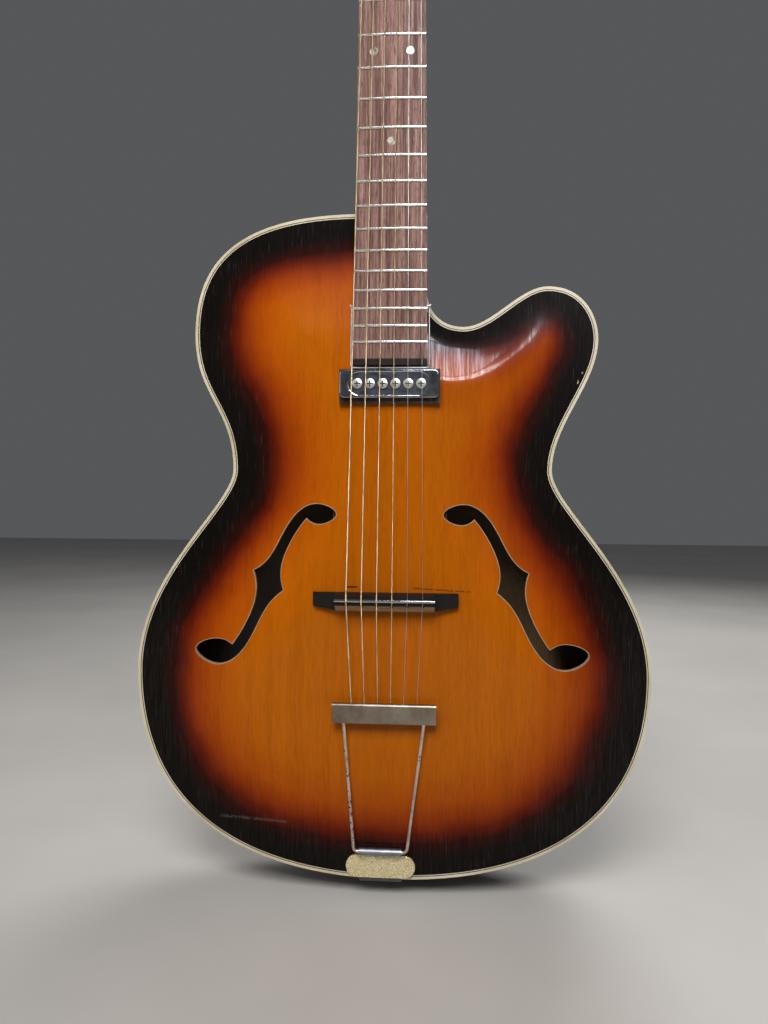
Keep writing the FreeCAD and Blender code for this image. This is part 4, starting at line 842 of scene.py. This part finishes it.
def screw_finish():
    """Nickel pole screws with painted shade in the cross slots, which lie below the domed head's face.
    """
    finish = Finish("pole_screws")
    across = (finish.axis("X") - POLE_MIDDLE[0]) / POLE_SPACING
    across = (across - across.floor() - 0.5) * POLE_SPACING
    rise = finish.axis("Z") - POLE_MIDDLE[2]
    reach = across * across + rise * rise
    sunk = finish.axis("Y") - POLE_MIDDLE[1] - reach * 0.055
    # painted shade: the slots are darkened where they sink below the head's face
    painted_shade = sunk.above(0.12, 0.30) * (1 - reach.above(6.5, 8.0))
    cloud = finish.noise(finish.place(), 0.5, 3.0)
    head = finish.mix(cloud, (0.62, 0.60, 0.56), (0.44, 0.42, 0.38))
    finish.colour(finish.mix(painted_shade, head, (0.012, 0.011, 0.010)))
    finish.metal(1 - painted_shade)
    finish.rough(0.34 + cloud * 0.16 + painted_shade * 0.4)
    return finish.material


def glitter():
    """Cream-gold flake plate: small cells that differ in brightness."""
    finish = Finish("glitter_plate", Coat_Weight=0.8, Coat_Roughness=0.12)
    cells = finish.node("ShaderNodeTexVoronoi", {"feature": "F1"},
                        {"Vector": finish.place(), "Scale": 1.5}, "Color")
    flake, tilt = (finish.node("ShaderNodeSeparateColor", {}, {0: cells}, part) for part in (0, 1))
    finish.colour(finish.ramp(flake, [(0.0, (0.30, 0.225, 0.085)), (0.35, (0.50, 0.41, 0.20)),
                                      (0.7, (0.66, 0.58, 0.34)), (1.0, (0.92, 0.86, 0.62))]))
    finish.metal(flake.above(0.6, 0.75) * 0.7)
    finish.rough(0.18 + tilt * 0.3)
    finish.bump(tilt, 0.12, 0.5)
    return finish.material


def dark_plastic():
    finish = Finish("dark_plastic", Specular_IOR_Level=0.2)
    wear = finish.noise(finish.place(), 0.25, 4.0)
    finish.colour(finish.ramp(wear, [(0.35, (0.020, 0.0145, 0.011)), (0.7, (0.060, 0.036, 0.024))]))
    finish.rough(0.32 + wear * 0.25)
    finish.bump(finish.noise(finish.place(), 1.4, 3.0), 0.03, 0.4)
    return finish.material


def bobbin_finish():
    """Dark plate in the cover's window, worn to a bluish sheen."""
    finish = Finish("bobbin_plate")
    wear = finish.noise(finish.stretched(0.4, 1, 1), 0.35, 4.0)
    finish.colour(finish.ramp(wear, [(0.35, (0.012, 0.014, 0.018)), (0.7, (0.055, 0.064, 0.082))]))
    finish.metal(wear.above(0.5, 0.7) * 0.6)
    finish.rough(0.22 + wear * 0.2)
    finish.bump(finish.noise(finish.place(), 1.6, 3.0), 0.02, 0.4)
    return finish.material


def copper_wire():
    finish = Finish("copper_wire", Metallic=1.0)
    turn = finish.axis("Y").wave(COIL_PITCH)
    finish.colour(finish.mix(turn * 0.5 + 0.5, (0.42, 0.15, 0.06), (0.62, 0.28, 0.12)))
    finish.rough(0.35 + turn * 0.08)
    finish.bump(turn, 0.05, 0.6)
    return finish.material


def magnet_iron():
    finish = Finish("magnet_iron", Metallic=1.0)
    grain = finish.noise(finish.place(), 0.8, 5.0)
    finish.colour(finish.ramp(grain, [(0.3, (0.16, 0.16, 0.16)), (0.7, (0.34, 0.33, 0.32))]))
    finish.rough(0.45 + grain * 0.25)
    finish.bump(grain, 0.05, 0.6)
    return finish.material


def lead_sleeve():
    finish = Finish("lead_sleeve")
    weave = finish.node("ShaderNodeTexVoronoi", {"feature": "DISTANCE_TO_EDGE"},
                        {"Vector": finish.place(), "Scale": 1.6})
    finish.colour(finish.ramp(weave, [(0.0, (0.03, 0.028, 0.025)), (0.4, (0.12, 0.11, 0.10))]))
    finish.rough(0.75 + weave * 0.2)
    finish.bump(weave, 0.2, 0.8)
    return finish.material


def tuner_finish():
    """Nickel shaft and worm inside, aged cream button outside."""
    finish = Finish("tuner_shaft_and_button", Coat_Roughness=0.12)
    button = (finish.axis("X").size() - BUTTON_FROM).above(-0.1, 0.1)
    age = finish.noise(finish.place(), 0.09, 4.0)
    swirl = finish.noise(finish.stretched(1, 2, 0.6), 0.22, 3.0)
    cream = finish.ramp(swirl, [(0.3, (0.42, 0.34, 0.19)), (0.6, (0.54, 0.47, 0.31))])
    metal = finish.ramp(age, [(0.35, (0.70, 0.67, 0.61)), (0.7, (0.50, 0.45, 0.38))])
    finish.colour(finish.mix(button, metal, cream))
    finish.metal(1 - button)
    finish.rough(0.16 + age * 0.2 + button * 0.06)
    finish.bump(swirl, 0.02, 0.3)
    return finish.material


def floor_finish():
    finish = Finish("pale_floor")
    cloud = finish.noise(finish.place(), 0.004, 4.0)
    finish.colour(finish.ramp(cloud, [(0.3, (0.40, 0.39, 0.375)), (0.7, (0.45, 0.44, 0.425))]))
    finish.rough(0.6 + cloud * 0.15)
    return finish.material


# Which CAD pieces carry which finish

BARE = bare_wood()
NICKEL = polished_metal("nickel", (0.72, 0.70, 0.66), 0.08, 0.30)
BINDING = binding_finish()
RIB = rib_finish()
STEEL = polished_metal("steel", (0.62, 0.60, 0.57), 0.18, 0.36)
BRONZE = string_finish("bronze_string", (0.56, 0.42, 0.23), True)
PLAIN = string_finish("plain_string", (0.50, 0.48, 0.44), False)
TUNER = tuner_finish()
BRIGHT = polished_metal("nickel_silver", (0.84, 0.81, 0.74), 0.14, 0.34)
SADDLE = polished_metal("saddle_rod", (0.50, 0.50, 0.50), 0.04, 0.12)
SCREW = screw_finish()

node_finishes = {
    "rib_bass": RIB, "rib_treble": RIB, "rib_at_jack": RIB,
    "top_binding": BINDING, "back_binding": BINDING, "top_white_line": BINDING,
    "top_black_line": black_line_finish(),
    "linings": BARE, "neck_block": BARE, "tail_block": BARE, "tone_bars": shaded_bar_wood(),
    "neck": neck_finish(), "neck_bar": STEEL, "fingerboard": rosewood(), "frets": BRIGHT,
    "position_dots": pearl(), "nut": bone(), "head_veneer": black_lacquer(),
    "tuner_plates": NICKEL, "wood_screws": NICKEL, "post_ferrules": NICKEL,
    "wound_strings": BRONZE, "plain_strings": PLAIN,
    "bridge": black_wood(), "bridge_saddle": SADDLE,
    "tailpiece_bar": worn_bar_with_painted_reflection(), "tailpiece_rods": rusted_nickel(),
    "tailpiece_bracket": bracket_finish(), "tail_plate": glitter(), "strap_button": NICKEL,
    "pickup_ring": dark_plastic(), "pickup_cover": cover_finish(), "pickup_bobbin": bobbin_finish(),
    "pickup_coil": copper_wire(), "pickup_magnet": magnet_iron(), "pickup_hanger": STEEL,
    "pickup_lead": lead_sleeve(), "output_jack": NICKEL, "jack_nut": NICKEL}
family_finishes = {"tuner_worm": TUNER, "pole_screw": SCREW, "tuner_post": BRIGHT}


def add_materials(obj, *materials):
    for material in materials:
        obj.data.materials.append(material)


def dress(obj, *materials):
    obj.data.materials.clear()
    add_materials(obj, *materials)


for name, obj in nodes.items():
    family = name.rsplit("_", 1)[0]
    if family in family_finishes:
        dress(obj, family_finishes[family])
    elif name in node_finishes:
        dress(obj, node_finishes[name])


# Arched plates and the strings behind the bridge

def make_top():
    holes = [sound_hole(side) for side in (-1, 1)]
    turns = np.linspace(0, 2 * math.pi, LEAD_HOLE_SIDES, endpoint=False)
    x, z, radius = LEAD_HOLE
    lead = np.stack([x + radius * np.cos(turns), z + radius * np.sin(turns)], axis=1)
    rim = RIM + RIM_INWARD * TOP_INSET
    top = arched_plate("top_lacquer", [rim, *holes, lead], TOP_EDGE, -TOP_ARCH, PLATE_THICKNESS, holes,
                       "guitar")
    add_materials(top, top_finish(), BARE)
    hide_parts("top_plate")


def make_back():
    rim = RIM + RIM_INWARD * BACK_INSET
    back = arched_plate("back_lacquer", [rim], BACK_EDGE, BACK_ARCH, -PLATE_THICKNESS, [], "guitar")
    add_materials(back, back_finish(), BARE)
    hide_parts("back_plate")


def make_string_ends():
    """Strings from the saddle to the tailpiece bar."""
    ends = bpy.data.objects.new("string_ends", nodes["string_tails"].data.copy())
    bpy.context.scene.collection.objects.link(ends)
    dress(ends, BRONZE, PLAIN)
    index = [int(polygon.center.x > PLAIN_STRINGS_FROM * MM) for polygon in ends.data.polygons]
    ends.data.polygons.foreach_set("material_index", index)
    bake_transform(ends)
    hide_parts("string_tails")


make_top()
make_back()
make_string_ends()


# Floor, light and camera

def add_floor():
    reach = 4.0
    corners = [(x * reach, y * reach, cad_low.z) for x, y in ((-1, -1), (1, -1), (1, 1), (-1, 1))]
    floor = add_piece("floor", corners, [(0, 1, 2, 3)], None)
    dress(floor, floor_finish())


def add_light(name, place, target, size, power, tint, diffuse=True, gloss=True):
    """Soft panel that faces its target; it may serve the diffuse light or the gloss alone."""
    light = bpy.data.lights.new(name, "AREA")
    light.shape = "RECTANGLE"
    light.size, light.size_y = size
    light.energy = power
    light.color = tint
    lamp = bpy.data.objects.new(name, light)
    lamp.visible_diffuse, lamp.visible_glossy = diffuse, gloss
    lamp.location = place
    lamp.rotation_euler = (Vector(target) - Vector(place)).to_track_quat("-Z", "Y").to_euler()
    bpy.context.scene.collection.objects.link(lamp)


AIM = (0.06, -0.05, 0.43)


def around(azimuth, height, distance=2.0):
    """Place at a distance in front of the lit spot, turned to the treble side and raised, in degrees."""
    turn, lift = math.radians(azimuth), math.radians(height)
    away = distance * math.cos(lift)
    return (AIM[0] + away * math.sin(turn), AIM[1] - away * math.cos(turn),
            AIM[2] + distance * math.sin(lift))


def add_world():
    world = bpy.data.worlds.new("studio")
    world.use_nodes = True
    shade = world.node_tree.nodes["Background"]
    shade.inputs["Color"].default_value = (0.72, 0.74, 0.78, 1)
    shade.inputs["Strength"].default_value = 0.13
    bpy.context.scene.world = world
    bpy.context.scene.view_settings.view_transform = "Standard"


def add_camera():
    """The photo's view: from the front, a little above the waist, looking down by the pitch."""
    lens_px, long_side_px = 790.0, 1024.0
    distance = 641.0
    pitch, yaw, roll = (math.radians(angle) for angle in (2.0, -3.8, 0.35))
    aim = Vector((-5.1, TOP_EDGE, 302.9 + TAIL_LIFT))
    level = math.cos(pitch)
    ahead = Vector((math.sin(yaw) * level, math.cos(yaw) * level, -math.sin(pitch)))
    camera_data = bpy.data.cameras.new("camera")
    camera_data.sensor_width = 36.0
    camera_data.lens = camera_data.sensor_width * lens_px / long_side_px
    camera_data.clip_start = 0.01
    camera = bpy.data.objects.new("camera", camera_data)
    camera.location = (aim - ahead * distance) * MM
    turn = ahead.to_track_quat("-Z", "Y").to_matrix().to_4x4() @ Matrix.Rotation(roll, 4, "Z")
    camera.rotation_euler = turn.to_euler()
    bpy.context.scene.collection.objects.link(camera)
    bpy.context.scene.camera = camera


add_floor()
add_world()
add_light("key", around(-8, 39, 1.45), AIM, (0.8, 0.7), 29, (1.0, 0.97, 0.93), gloss=False)
add_light("gloss_panel", around(15, 47), AIM, (0.86, 1.00), 62, (0.80, 0.88, 1.0), diffuse=False)
add_light("gloss_strip", around(18.5, 25.5), AIM, (0.60, 0.34), 25, (1.0, 0.96, 0.97), diffuse=False)
add_light("fill", (-1.7, -1.0, 0.9), (0, 0, 0.3), (0.8, 1.2), 8, (1.0, 0.97, 0.93))
add_light("rear", (0.6, 1.4, 1.5), (0, 0, 0.4), (1.2, 0.8), 28, (1.0, 0.98, 0.95))
add_camera()
